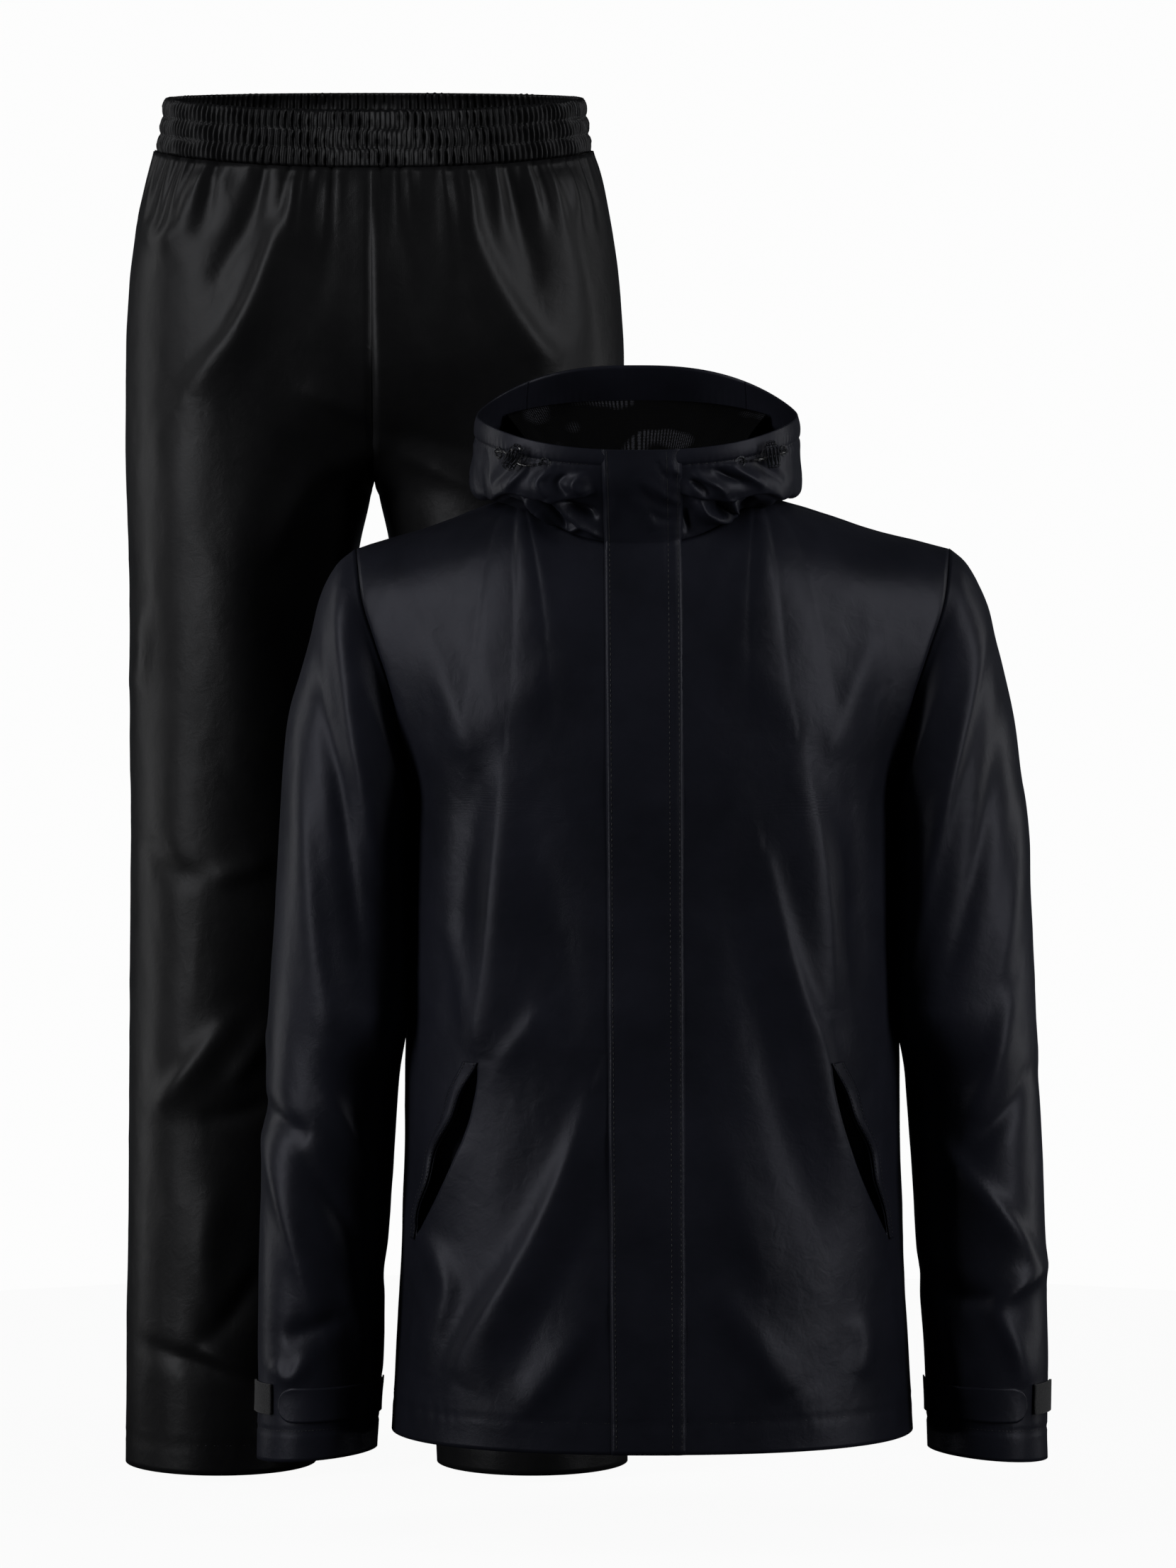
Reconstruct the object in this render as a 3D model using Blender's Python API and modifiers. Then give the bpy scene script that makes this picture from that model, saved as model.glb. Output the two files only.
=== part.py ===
"""Rain suit: a hooded jacket and a pair of pull-on trousers, filled out as if worn.

Metres, +Z up. The origin is at the middle of the jacket's shoulders, where the wearer holds
it up. The front faces -Y. The trousers stand behind the jacket, to the wearer's right.
Right and left are the wearer's: right is at -X.
"""

import math
from collections import namedtuple

import bmesh
import bpy
import numpy as np
from mathutils import Vector

# Driving dimensions
WALL = 0.0012  # cloth with its coating
JOIN_WITHIN = 0.00002  # grid points closer than this are one
BAND_WALL = 0.0020  # elastic between two layers of cloth
SEAM_GAP = 0.0003  # between pieces that are sewn together
SHOULDER_GAP = 0.0006  # half of the gap along the shoulder seam, where both walls turn down
LIFT = 0.0005  # from a panel to what lies on it
WELT_LIFT = 0.0009  # the welt bridges the hollows of its panel
FLAP_LIFT = 0.0012  # the storm flap bridges the small hollows of the fronts
ARMHOLE_GAP = 0.0011  # the sleeve head stands this far outside the armhole
ROUNDNESS = 2.3  # of the body's level sections: 2 is an ellipse, more is squarer
HOOD_ROUNDNESS = 2.6

JACKET_X = 0.002  # middle of the jacket's body
HOOD_X = -0.010  # the hood has slipped a little to the wearer's right
SLEEVE_Y = 0.006  # the sleeves hang a little behind the middle
TROUSERS_X = -0.2175
TROUSERS_Y = 0.320
HEM_Z = -0.681
UNDERARM_Z = -0.194

# The jacket's body, a row for each height
Section = namedtuple("Section", "height half_width front back")
BODY = [
    Section(HEM_Z, 0.2020, 0.148, 0.136),
    Section(-0.600, 0.1970, 0.147, 0.134),
    Section(-0.500, 0.1925, 0.145, 0.131),
    Section(-0.400, 0.1905, 0.143, 0.129),
    Section(-0.300, 0.1885, 0.142, 0.127),
    Section(UNDERARM_Z, 0.1885, 0.140, 0.126),
]

# The neck seam and the shoulder line
NECK_HALF = 0.088
NECK_FRONT = 0.098
NECK_BACK = 0.086
NECK_Z = {"front": 0.012, "side": 0.044, "back": 0.052}
NECK_SHARE = 0.36  # the share of a panel's top edge that is neck seam
ShoulderPoint = namedtuple("ShoulderPoint", "out height")
SHOULDER = [
    ShoulderPoint(0.088, 0.0440),
    ShoulderPoint(0.125, 0.0315),
    ShoulderPoint(0.175, 0.0145),
    ShoulderPoint(0.205, 0.0060),
    ShoulderPoint(0.228, 0.0000),
]

# The armhole: how far out it lies at each height, and its depth before and behind
ArmholePoint = namedtuple("ArmholePoint", "height out")
ARMHOLE = [
    ArmholePoint(UNDERARM_Z, 0.1885),
    ArmholePoint(-0.150, 0.1915),
    ArmholePoint(-0.113, 0.1980),
    ArmholePoint(-0.070, 0.2115),
    ArmholePoint(-0.040, 0.2215),
    ArmholePoint(0.000, 0.2280),
]
SIDE_SEAM_TURN = 0.0012  # half of the gap at the side seam, in radians of the section
YOKE_SHARE = 0.30  # how much of a panel's v lies above the underarm
FRONT_EDGE_SHARE = 0.05  # of a front, over which its middle edge steps back from the other front
SHOULDER_ROUNDNESS = 2.8
CHEST_SWELL = 0.006
ARMHOLE_FRONT = 0.064
ARMHOLE_BACK = 0.074

# The sleeve's sections, from the armhole to the cuff: the outer and inner point of each, seen
# from the front, and its depth
SleeveRow = namedtuple("SleeveRow", "along out_x out_z in_x in_z front back")
SLEEVE = [
    SleeveRow(0.000, 0.2280, 0.0000, 0.1885, -0.194, 0.064, 0.074),
    SleeveRow(0.045, 0.2495, -0.0265, 0.1912, -0.198, 0.067, 0.076),
    SleeveRow(0.110, 0.2665, -0.0780, 0.1922, -0.203, 0.069, 0.077),
    SleeveRow(0.180, 0.2785, -0.1300, 0.1924, -0.211, 0.068, 0.075),
    SleeveRow(0.260, 0.2860, -0.1950, 0.1924, -0.230, 0.066, 0.072),
    SleeveRow(0.345, 0.2910, -0.2650, 0.1922, -0.272, 0.064, 0.068),
    SleeveRow(0.460, 0.2960, -0.3500, 0.1925, -0.352, 0.061, 0.062),
    SleeveRow(0.580, 0.3000, -0.4350, 0.1975, -0.436, 0.058, 0.058),
    SleeveRow(0.700, 0.3035, -0.5200, 0.2030, -0.520, 0.055, 0.055),
    SleeveRow(0.820, 0.3055, -0.6000, 0.2085, -0.598, 0.053, 0.052),
    SleeveRow(0.915, 0.3060, -0.6550, 0.2115, -0.650, 0.051, 0.050),
    SleeveRow(1.000, 0.3065, -0.7040, 0.2130, -0.695, 0.050, 0.048),
]
CUFF_FORWARD = 0.012  # the cuffs hang this far in front of the armholes

# The hood's level loops, from the neck seam to the rim, with their heights all round
HoodLoop = namedtuple("HoodLoop", "along half_width front back z_front z_side z_back")
HOOD = [
    HoodLoop(0.00, NECK_HALF, NECK_FRONT, NECK_BACK, 0.012, 0.044, 0.052),
    HoodLoop(0.16, 0.108, 0.106, 0.125, 0.024, 0.042, 0.006),
    HoodLoop(0.34, 0.120, 0.112, 0.158, 0.038, 0.050, 0.000),
    HoodLoop(0.62, 0.1245, 0.115, 0.163, 0.060, 0.072, 0.055),
    HoodLoop(1.00, 0.1235, 0.116, 0.138, 0.085, 0.104, 0.134),
]
NECK_GAP = 0.0012  # the neck seam's edges turn towards each other
HOOD_SEAM_TURN = 0.22  # half of the gap between the hood's parts, in degrees
HOOD_CENTRE_ANGLE = 38.0  # half of what the hood's centre strip spans, in degrees
MESH_TOP = 0.86  # how far up the hood its mesh lining is sewn
MESH_SPAN = 104.0  # degrees
MESH_THICK = 0.0010
MESH_INSET = 0.0026
MESH_LOW_IN = 0.004  # its lower edge lies this far inside and above the neck seam
MESH_LOW_UP = 0.006

# The storm flap: its two edges at the hem and at the top
FLAP_FREE_X = {"hem": -0.0300, "top": -0.0380}
FLAP_SEWN_X = {"hem": 0.0275, "top": 0.0232}

# The pocket mouth: its two ends on the front panel
PocketEnd = namedtuple("PocketEnd", "height angle")
POCKET_TOP = PocketEnd(-0.388, 42.0)
POCKET_BOTTOM = PocketEnd(-0.522, 66.0)
POCKET_GAPE = 0.010
POCKET_RADIUS = 0.165  # of the body near the pocket, from its middle line
WELT_WIDTH = 0.014
WELT_INSET = 0.001  # from the mouth's widest place to the welt
BAG_SPAN = (-0.075, 0.022)  # metres across the slit, towards the side seam
BAG_DEPTH = 0.012
BAG_GAP = 0.0016

# The rows of the jacket's panels: one falls on each end of the pocket and on the underarm
def panel_share(height):
    """The v of a body panel at a height below the underarm."""
    return (height - HEM_Z) / (UNDERARM_Z - HEM_Z) * (1 - YOKE_SHARE)


BELOW_ROWS, POCKET_ROWS, ABOVE_ROWS, YOKE_ROWS = 5, 5, 5, 6
HOOD_ROWS = 7
PANEL_LEVELS = [
    *np.linspace(0, panel_share(POCKET_BOTTOM.height), BELOW_ROWS, endpoint=False),
    *np.linspace(panel_share(POCKET_BOTTOM.height), panel_share(POCKET_TOP.height),
                 POCKET_ROWS, endpoint=False),
    *np.linspace(panel_share(POCKET_TOP.height), 1 - YOKE_SHARE, ABOVE_ROWS, endpoint=False),
    *np.linspace(1 - YOKE_SHARE, 1, YOKE_ROWS + 1),
]
PANEL_ROWS = len(PANEL_LEVELS) - 1
FLAP_BODY_SHARE = PANEL_ROWS / (PANEL_ROWS + HOOD_ROWS)  # the flap's rows match the panels' and the hood's
FLAP_LEVELS = [level * FLAP_BODY_SHARE for level in PANEL_LEVELS] + [
    FLAP_BODY_SHARE + (1 - FLAP_BODY_SHARE) * (row + 1) / HOOD_ROWS for row in range(HOOD_ROWS)
]

# The cuff adjuster
CUFF_RADIUS = 0.048
TAB_HEIGHT = -0.656
TAB_WIDTH = 0.027
TAB_SPAN = (-95.0, 38.0)  # degrees round the sleeve from its front, outwards
TAPE_HEIGHT = -0.652
TAPE_WIDTH = 0.023
TAPE_THICK = 0.0022
TAPE_SPAN = (46.0, 86.0)

# The hood's cord hardware
LOCK_RADIUS = 0.0060
LOCK_LENGTH = 0.0170
LOCK_CLEAR = 0.0022  # from the hood to the lock
LOCK_EDGE = 0.0015  # how long its rounded ends are
BUTTON_RADIUS = 0.0042
BUTTON_LENGTH = 0.0035
CORD_RADIUS = 0.00125
CORD_ARCH = 0.007  # how far each cord runs on before it bends
EYELET_OUTER = 0.0052
EYELET_INNER = 0.0027
EYELET_THICK = 0.0009
EYELET_LIFT = 0.0002

# The trousers, offsets from their middle line, a row for each height
TROUSER_HIPS = [
    Section(0.020, 0.1980, 0.120, 0.132),
    Section(0.098, 0.1980, 0.123, 0.137),
    Section(0.156, 0.1965, 0.123, 0.135),
    Section(0.219, 0.1910, 0.120, 0.130),
    Section(0.262, 0.1820, 0.115, 0.123),
    Section(0.292, 0.1725, 0.109, 0.115),
]
LegRow = namedtuple("LegRow", "height outer inner front back")
LEG = [
    LegRow(-0.757, 0.2015, 0.0470, 0.083, 0.086),
    LegRow(-0.600, 0.1990, 0.0395, 0.085, 0.087),
    LegRow(-0.450, 0.1970, 0.0320, 0.088, 0.090),
    LegRow(-0.300, 0.1955, 0.0245, 0.092, 0.095),
    LegRow(-0.140, 0.1955, 0.0165, 0.098, 0.102),
    LegRow(-0.020, 0.1960, 0.0105, 0.106, 0.113),
    LegRow(0.022, 0.1975, 0.0010, 0.112, 0.122),
    LegRow(0.140, 0.1980, 0.0010, 0.118, 0.130),
]
TROUSER_HEM_Z = -0.757
CROTCH_Z = 0.022
CROTCH_GAP = 0.0018
INSEAM_GAP = 0.0007
SEAM_SHARE = 0.125  # of a panel, over which its edge steps back from a seam
RISE_Z = 0.150  # where the rise starts to turn under
BAND_BOTTOM = {"side": 0.2930, "front": 0.2850}
BAND_TOP = {"side": 0.3355, "front": 0.3300}
BAND_HALF = {"bottom": 0.1720, "top": 0.1660}
BAND_FRONT = {"bottom": 0.109, "top": 0.105}
BAND_BACK = {"bottom": 0.115, "top": 0.111}
BAND_GAP = 0.0008  # between the waistband and the legs, whose edge is drawn in
BAND_ROUNDNESS = 2.15
GATHERS = 96
GATHER_DEPTH = 0.0013
SHIRRED_ROWS = 3

# The largest folds: two ends seen from the front, the width and the height of the ridge
Fold = namedtuple("Fold", "side x0 z0 x1 z1 width height")
JACKET_FOLDS = [
    Fold("front", -0.110, -0.150, -0.130, -0.385, 0.024, 0.0080),
    Fold("front", -0.050, -0.410, -0.150, -0.635, 0.025, 0.0095),
    Fold("front", -0.160, -0.450, -0.170, -0.630, 0.020, 0.0055),
    Fold("front", 0.113, -0.145, 0.137, -0.350, 0.024, 0.0080),
    Fold("front", 0.090, -0.224, 0.178, -0.560, 0.023, 0.0075),
    Fold("front", 0.050, -0.548, 0.105, -0.640, 0.020, 0.0055),
    Fold("back", -0.120, -0.120, -0.072, -0.420, 0.028, 0.0090),
    Fold("back", 0.125, -0.130, 0.072, -0.460, 0.028, 0.0090),
    Fold("back", -0.020, -0.370, -0.130, -0.630, 0.026, 0.0080),
    Fold("back", 0.040, -0.410, 0.140, -0.635, 0.026, 0.0080),
]
SLEEVE_FOLDS = [
    Fold("front", -0.240, -0.030, -0.224, -0.150, 0.016, 0.0060),
    Fold("front", -0.224, -0.150, -0.210, -0.240, 0.016, 0.0050),
    Fold("front", -0.294, -0.450, -0.258, -0.585, 0.017, 0.0065),
    Fold("front", 0.256, -0.055, 0.204, -0.310, 0.016, 0.0060),
    Fold("front", 0.279, -0.340, 0.246, -0.432, 0.017, 0.0065),
    Fold("front", 0.224, -0.455, 0.292, -0.548, 0.016, 0.0060),
    Fold("back", -0.290, -0.375, -0.230, -0.440, 0.018, 0.0060),
    Fold("back", -0.288, -0.470, -0.232, -0.555, 0.018, 0.0055),
    Fold("back", 0.294, -0.385, 0.232, -0.452, 0.018, 0.0060),
    Fold("back", 0.292, -0.505, 0.236, -0.585, 0.018, 0.0055),
]
TROUSER_FOLDS = [
    Fold("front", -0.281, 0.270, -0.315, 0.170, 0.020, 0.0085),
    Fold("front", -0.315, 0.170, -0.362, 0.110, 0.021, 0.0085),
    Fold("front", -0.140, 0.262, -0.076, 0.132, 0.021, 0.0075),
    Fold("front", -0.074, 0.268, -0.048, 0.140, 0.020, 0.0055),
    Fold("front", -0.204, 0.060, -0.120, 0.026, 0.022, 0.0055),
    Fold("front", -0.310, 0.060, -0.320, -0.220, 0.028, 0.0050),
    Fold("front", -0.140, 0.000, -0.132, -0.210, 0.028, 0.0050),
    Fold("front", -0.332, -0.392, -0.386, -0.460, 0.022, 0.0080),
    Fold("front", -0.066, -0.235, -0.148, -0.286, 0.022, 0.0060),
    Fold("back", -0.302, 0.240, -0.345, 0.050, 0.026, 0.0090),
    Fold("back", -0.130, 0.240, -0.090, 0.050, 0.026, 0.0090),
    Fold("back", -0.232, 0.046, -0.325, 0.006, 0.022, 0.0060),
    Fold("back", -0.203, 0.046, -0.110, 0.006, 0.022, 0.0060),
    Fold("back", -0.388, -0.250, -0.292, -0.290, 0.022, 0.0070),
    Fold("back", -0.056, -0.254, -0.150, -0.294, 0.022, 0.0070),
]

# Colours and finishes: base colour, roughness, metallic
FINISH = {
    "jacket_cloth": ((0.0045, 0.0050, 0.0085, 1), 0.45, 0.0),
    "trouser_cloth": ((0.0040, 0.0042, 0.0050, 1), 0.50, 0.0),
    "mesh_cloth": ((0.0060, 0.0060, 0.0065, 1), 0.80, 0.0),
    "loop_tape": ((0.0100, 0.0100, 0.0110, 1), 0.90, 0.0),
    "gloss_plastic": ((0.0100, 0.0100, 0.0120, 1), 0.25, 0.0),
    "cord": ((0.0080, 0.0080, 0.0090, 1), 0.60, 0.0),
    "eyelet_metal": ((0.1000, 0.1050, 0.1150, 1), 0.30, 1.0),
}


def clear_scene():
    for obj in list(bpy.data.objects):
        bpy.data.objects.remove(obj)


def collection(name):
    made = bpy.data.collections.new(name)
    bpy.context.scene.collection.children.link(made)
    return made


def material(name, finish):
    color, roughness, metallic = FINISH[finish]
    made = bpy.data.materials.new(name + "_material")
    made.use_nodes = True
    shader = made.node_tree.nodes["Principled BSDF"]
    shader.inputs["Base Color"].default_value = color
    shader.inputs["Roughness"].default_value = roughness
    shader.inputs["Metallic"].default_value = metallic
    return made


def smooth_value(stops, values, at):
    """The value at a place on a smooth curve through the stops, which rise."""
    at = min(max(at, stops[0]), stops[-1])
    slopes = np.gradient(values, stops)
    i = min(int(np.searchsorted(stops, at, side="right")) - 1, len(stops) - 2)
    step = stops[i + 1] - stops[i]
    t = (at - stops[i]) / step
    start = (1 + 2 * t) * (1 - t) ** 2 * values[i] + t * (1 - t) ** 2 * step * slopes[i]
    end = t * t * (3 - 2 * t) * values[i + 1] + t * t * (t - 1) * step * slopes[i + 1]
    return start + end


def row_at(rows, at):
    """A row between the rows of a table, found by its first column."""
    stops = [row[0] for row in rows]
    return type(rows[0])(*(smooth_value(stops, list(column), at) for column in zip(*rows)))


def ease(value, low, high):
    """0 up to low, 1 from high, and smooth between."""
    t = min(max((value - low) / (high - low), 0.0), 1.0)
    return t * t * (3 - 2 * t)


def round_part(angle, power):
    """How far across and how far forward a point of a rounded outline lies, from 0 to 1."""
    across, forward = math.sin(angle), math.cos(angle)
    return (
        math.copysign(abs(across) ** (2 / power), across),
        math.copysign(abs(forward) ** (2 / power), forward),
    )


def level_point(row, angle, power):
    """A point of a level section. The angle is 0 at the front and turns towards +X."""
    across, forward = round_part(angle, power)
    depth = row.front if forward >= 0 else row.back
    return Vector((row.half_width * across, -depth * forward, row.height))


def fold_height(point, folds):
    """How far the folds of a table push this point outwards."""
    height = 0.0
    for fold in folds:
        middle = TROUSERS_Y if folds is TROUSER_FOLDS else SLEEVE_Y
        if (fold.side == "front") != (point.y < middle):
            continue
        run = Vector((fold.x1 - fold.x0, fold.z1 - fold.z0))
        here = Vector((point.x - fold.x0, point.z - fold.z0))
        t = min(max(here.dot(run) / run.length_squared, 0.0), 1.0)
        away = (here - run * t).length / fold.width
        height += fold.height * math.exp(-away * away) * math.sqrt(math.sin(math.pi * (0.06 + 0.88 * t)))
    return height


def normal_at(surface, u, v, closed=False, step=0.004):
    """Which way a surface faces. Its u turns counter-clockwise from above and its v goes up."""
    low_u, high_u = u - step, u + step
    if not closed:
        low_u, high_u = max(low_u, 0.0), min(high_u, 1.0)
    low_v, high_v = max(v - step, 0.0), min(v + step, 1.0)
    along = surface(high_u, v) - surface(low_u, v)
    upward = surface(u, high_v) - surface(u, low_v)
    return along.cross(upward).normalized()


def with_folds(surface, folds, closed=False):
    """The surface with its folds, which die out just before its lower and upper edge."""

    def folded(u, v):
        point = surface(u, v)
        calm = ease(v, 0.0, 0.03) * (1 - ease(v, 0.97, 1.0))
        return point + normal_at(surface, u, v, closed) * fold_height(point, folds) * calm

    return folded


def wall(name, finish, patches, columns, rows, thickness=WALL, closed=False, levels=None):
    """A cloth wall: a grid laid on each patch, thickened inwards.

    A patch is a surface. Two of them that meet on an edge are joined there. levels may give the
    v of each row, where the rows aren't evenly spaced.
    """
    mesh = bpy.data.meshes.new(name)
    cloth = bmesh.new()
    for surface in patches:
        made = bmesh.ops.create_grid(cloth, x_segments=columns, y_segments=rows, size=0.5)
        for vert in made["verts"]:
            u, v = vert.co.x + 0.5, vert.co.y + 0.5
            if levels:
                v = levels[round(v * rows)]
            vert.co = surface(min(max(u, 0.0), 1.0), min(max(v, 0.0), 1.0))
    if closed or len(patches) > 1:
        bmesh.ops.remove_doubles(cloth, verts=cloth.verts, dist=JOIN_WITHIN)
    cloth.to_mesh(mesh)
    cloth.free()
    obj = bpy.data.objects.new(name, mesh)
    PARTS.objects.link(obj)
    mesh.shade_smooth()
    mesh.materials.append(material(name, finish))
    solidify = obj.modifiers.new("wall", "SOLIDIFY")
    solidify.thickness = thickness
    solidify.offset = -1
    return obj


def neck_height(angle):
    forward = math.cos(angle)
    end = NECK_Z["front"] if forward >= 0 else NECK_Z["back"]
    return NECK_Z["side"] + (end - NECK_Z["side"]) * forward**2


def neck_point(angle):
    across, forward = round_part(angle, HOOD_ROUNDNESS)
    depth = NECK_FRONT if forward >= 0 else NECK_BACK
    return Vector((HOOD_X + NECK_HALF * across, -depth * forward, neck_height(angle)))


def armhole_point(side, angle):
    """The armhole's edge. The angle is 0 at the shoulder, 90 degrees at the front."""
    top = SHOULDER[-1].height
    height = (top + UNDERARM_Z) / 2 + (top - UNDERARM_Z) / 2 * math.cos(angle)
    depth = ARMHOLE_FRONT if math.sin(angle) >= 0 else ARMHOLE_BACK
    out = row_at(ARMHOLE, height).out
    return Vector((JACKET_X + side * out, SLEEVE_Y - depth * math.sin(angle), height))


def top_edge(side, facing, s):
    """A panel's top edge: the neck seam from the middle, then the shoulder line."""
    start = 0.0 if facing > 0 else math.pi
    if s <= NECK_SHARE:
        turn = side * s / NECK_SHARE * math.pi / 2
        return neck_point(turn if facing > 0 else math.pi - turn)
    t = (s - NECK_SHARE) / (1 - NECK_SHARE)
    out = SHOULDER[0].out + (SHOULDER[-1].out - SHOULDER[0].out) * t
    height = row_at(SHOULDER, out).height
    neck_end = neck_point(side * math.pi / 2)
    start_x = neck_end.x
    end_x = JACKET_X + side * SHOULDER[-1].out
    return Vector((start_x + (end_x - start_x) * t, SLEEVE_Y * t - facing * SHOULDER_GAP, height))


def side_edge(side, facing, t):
    """The armhole's half of a panel's outer edge, from the underarm up."""
    point = armhole_point(side, facing * math.pi * (1 - t))
    return point + Vector((0, -facing * SHOULDER_GAP * t, 0))


def body_angle(side, facing, s):
    turn = s * (math.pi / 2 - SIDE_SEAM_TURN)
    return side * turn if facing > 0 else math.pi - side * turn


def upper_point(side, facing, s, t):
    """A panel above the underarm, which rounds over towards the shoulder line."""
    low = level_point(BODY[-1], body_angle(side, facing, s), ROUNDNESS) + Vector((JACKET_X, 0, 0))
    high = top_edge(side, facing, s)
    over_shoulder = ease(s, 0.0, NECK_SHARE)
    round_off, round_up = round_part(t * math.pi / 2, SHOULDER_ROUNDNESS)
    back_in = t**2.2 * (1 - over_shoulder) + (1 - round_up) * over_shoulder
    rise = t * (1 - over_shoulder) + round_off * over_shoulder
    point = Vector((
        low.x + (high.x - low.x) * t,
        low.y + (high.y - low.y) * back_in,
        low.z + (high.z - low.z) * rise,
    ))
    point.y -= facing * CHEST_SWELL * math.sin(math.pi * t) * (1 - over_shoulder)
    tip, underarm = side_edge(side, facing, 1.0), side_edge(side, facing, 0.0)
    plain = Vector((
        underarm.x + (tip.x - underarm.x) * t,
        underarm.y + (tip.y - underarm.y) * (1 - round_up),
        underarm.z + (tip.z - underarm.z) * round_off,
    ))
    return point + (side_edge(side, facing, t) - plain) * s**2


def panel_point(side, facing, s, v):
    """A body panel, from its middle line (s 0) to its side (s 1), from the hem up."""
    low_share = 1 - YOKE_SHARE
    if v >= low_share:
        return upper_point(side, facing, s, (v - low_share) / YOKE_SHARE)
    height = HEM_Z + (UNDERARM_Z - HEM_Z) * v / low_share
    point = level_point(row_at(BODY, height), body_angle(side, facing, s), ROUNDNESS)
    return point + Vector((JACKET_X, 0, 0))


def front_surface(side):
    """The front panel as a surface whose u turns counter-clockwise from above."""

    def surface(u, v):
        s = u if side > 0 else 1 - u
        point = panel_point(side, 1, s, v)
        near_middle = 1 - min(s / FRONT_EDGE_SHARE, 1.0)
        point.x += side * SEAM_GAP / 2 * near_middle
        return point

    return surface


def back_surface(u, v):
    """The back: u 0 at the wearer's left side, 1 at the right."""
    side, s = (1, 1 - 2 * u) if u < 0.5 else (-1, 2 * u - 1)
    return panel_point(side, -1, s, v)


def sleeve_surface(side):
    """The sleeve: u turns round it from its inner line, v goes up from the cuff to the armhole."""

    def surface(u, v):
        along = 1 - v
        row = row_at(SLEEVE, along)
        turn = math.pi - side * 2 * math.pi * u
        outer = Vector((row.out_x, 0, row.out_z))
        inner = Vector((row.in_x, 0, row.in_z))
        middle, half = (outer + inner) / 2, (outer - inner) / 2
        place = middle + half * math.cos(turn)
        depth = row.front if math.sin(turn) >= 0 else row.back
        forward = CUFF_FORWARD * ease(along, 0.2, 1.0)
        point = Vector((JACKET_X + side * place.x, SLEEVE_Y - forward - depth * math.sin(turn), place.z))
        seam = armhole_point(side, turn)
        straight = Vector((SLEEVE[0].out_x, 0, SLEEVE[0].out_z)) * (1 + math.cos(turn)) / 2
        straight += Vector((SLEEVE[0].in_x, 0, SLEEVE[0].in_z)) * (1 - math.cos(turn)) / 2
        bend = seam.x - (JACKET_X + side * straight.x)
        point.x += bend * (1 - ease(along, 0.0, 0.25)) + side * ARMHOLE_GAP * (1 - ease(along, 0.0, 0.05))
        return point

    return surface


def hood_point(angle, v):
    """The hood. The angle is 0 at the front and turns towards +X, v goes up to the rim."""
    row = row_at(HOOD, v)
    across, forward = round_part(angle, HOOD_ROUNDNESS)
    depth = row.front if forward >= 0 else row.back
    share = math.cos(angle) ** 2
    end = row.z_front if forward >= 0 else row.z_back
    height = row.z_side + (end - row.z_side) * share
    start = (1 - ease(v, 0.0, 0.04)) * NECK_GAP
    return Vector((HOOD_X + row.half_width * across, -depth * forward, height + start))


def hood_part(start, end):
    """A strip of the hood between two angles, in degrees."""

    def surface(u, v):
        return hood_point(math.radians(start + (end - start) * u), v)

    return surface


def hips_point(side, facing, s, height):
    row = row_at(TROUSER_HIPS, height)
    turn = s * math.pi / 2
    angle = side * turn if facing > 0 else math.pi - side * turn
    return level_point(row, angle, ROUNDNESS)


def leg_point(side, facing, s, height):
    row = row_at(LEG, height)
    middle, half = (row.outer + row.inner) / 2, (row.outer - row.inner) / 2
    turn = (1 - s) * math.pi
    across, forward = math.cos(turn), math.sin(turn)
    depth = row.front if facing > 0 else row.back
    return Vector((side * (middle + half * across), -facing * depth * forward, height))


def trouser_surface(side, facing):
    """A trouser panel, whose u turns counter-clockwise from above and whose v goes up."""

    def surface(u, v):
        s = u if side * facing > 0 else 1 - u
        top = BAND_BOTTOM["side"] - BAND_GAP
        height = TROUSER_HEM_Z + (top - TROUSER_HEM_Z) * v
        hips = hips_point(side, facing, s, max(height, TROUSER_HIPS[0].height))
        hips.z = height
        leg = leg_point(side, facing, s, height)
        t = min(max((RISE_Z - height) / (RISE_Z - CROTCH_Z), 0.0), 1.0)
        turned = 1 - math.sqrt(1 - t * t)
        point = hips * (1 - turned) + leg * turned
        dip = (BAND_BOTTOM["side"] - BAND_BOTTOM["front"]) if facing > 0 else 0.0
        point.z -= dip * math.cos(s * math.pi / 2) ** 2 * ease(height, 0.20, top)
        point.x += side * (SEAM_GAP + CROTCH_GAP * math.sqrt(turned)) * (1 - s)
        at_edge = max(0.0, 1 - (1 - s) / SEAM_SHARE) + max(0.0, 1 - s / SEAM_SHARE) * turned
        point.y -= facing * INSEAM_GAP * at_edge
        return point + Vector((TROUSERS_X, TROUSERS_Y, 0))

    return surface


def waistband_surface(u, v):
    """The shirred waistband: gathers all round, drawn in at each row of stitches."""
    angle = 2 * math.pi * u
    across, forward = round_part(angle, BAND_ROUNDNESS)
    ends = BAND_FRONT if forward >= 0 else BAND_BACK
    depth = ends["bottom"] + (ends["top"] - ends["bottom"]) * v
    half_width = BAND_HALF["bottom"] + (BAND_HALF["top"] - BAND_HALF["bottom"]) * v
    share = math.cos(angle) ** 2 if forward >= 0 else 0.0
    low = BAND_BOTTOM["side"] + (BAND_BOTTOM["front"] - BAND_BOTTOM["side"]) * share
    high = BAND_TOP["side"] + (BAND_TOP["front"] - BAND_TOP["side"]) * share
    wave = 1 if round(u * GATHERS * 2) % 2 else -1
    out = Vector((math.sin(angle), -math.cos(angle), 0)) * wave * GATHER_DEPTH
    place = Vector((half_width * across, -depth * forward, low + (high - low) * v))
    return place + out + Vector((TROUSERS_X, TROUSERS_Y, 0))


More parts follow.
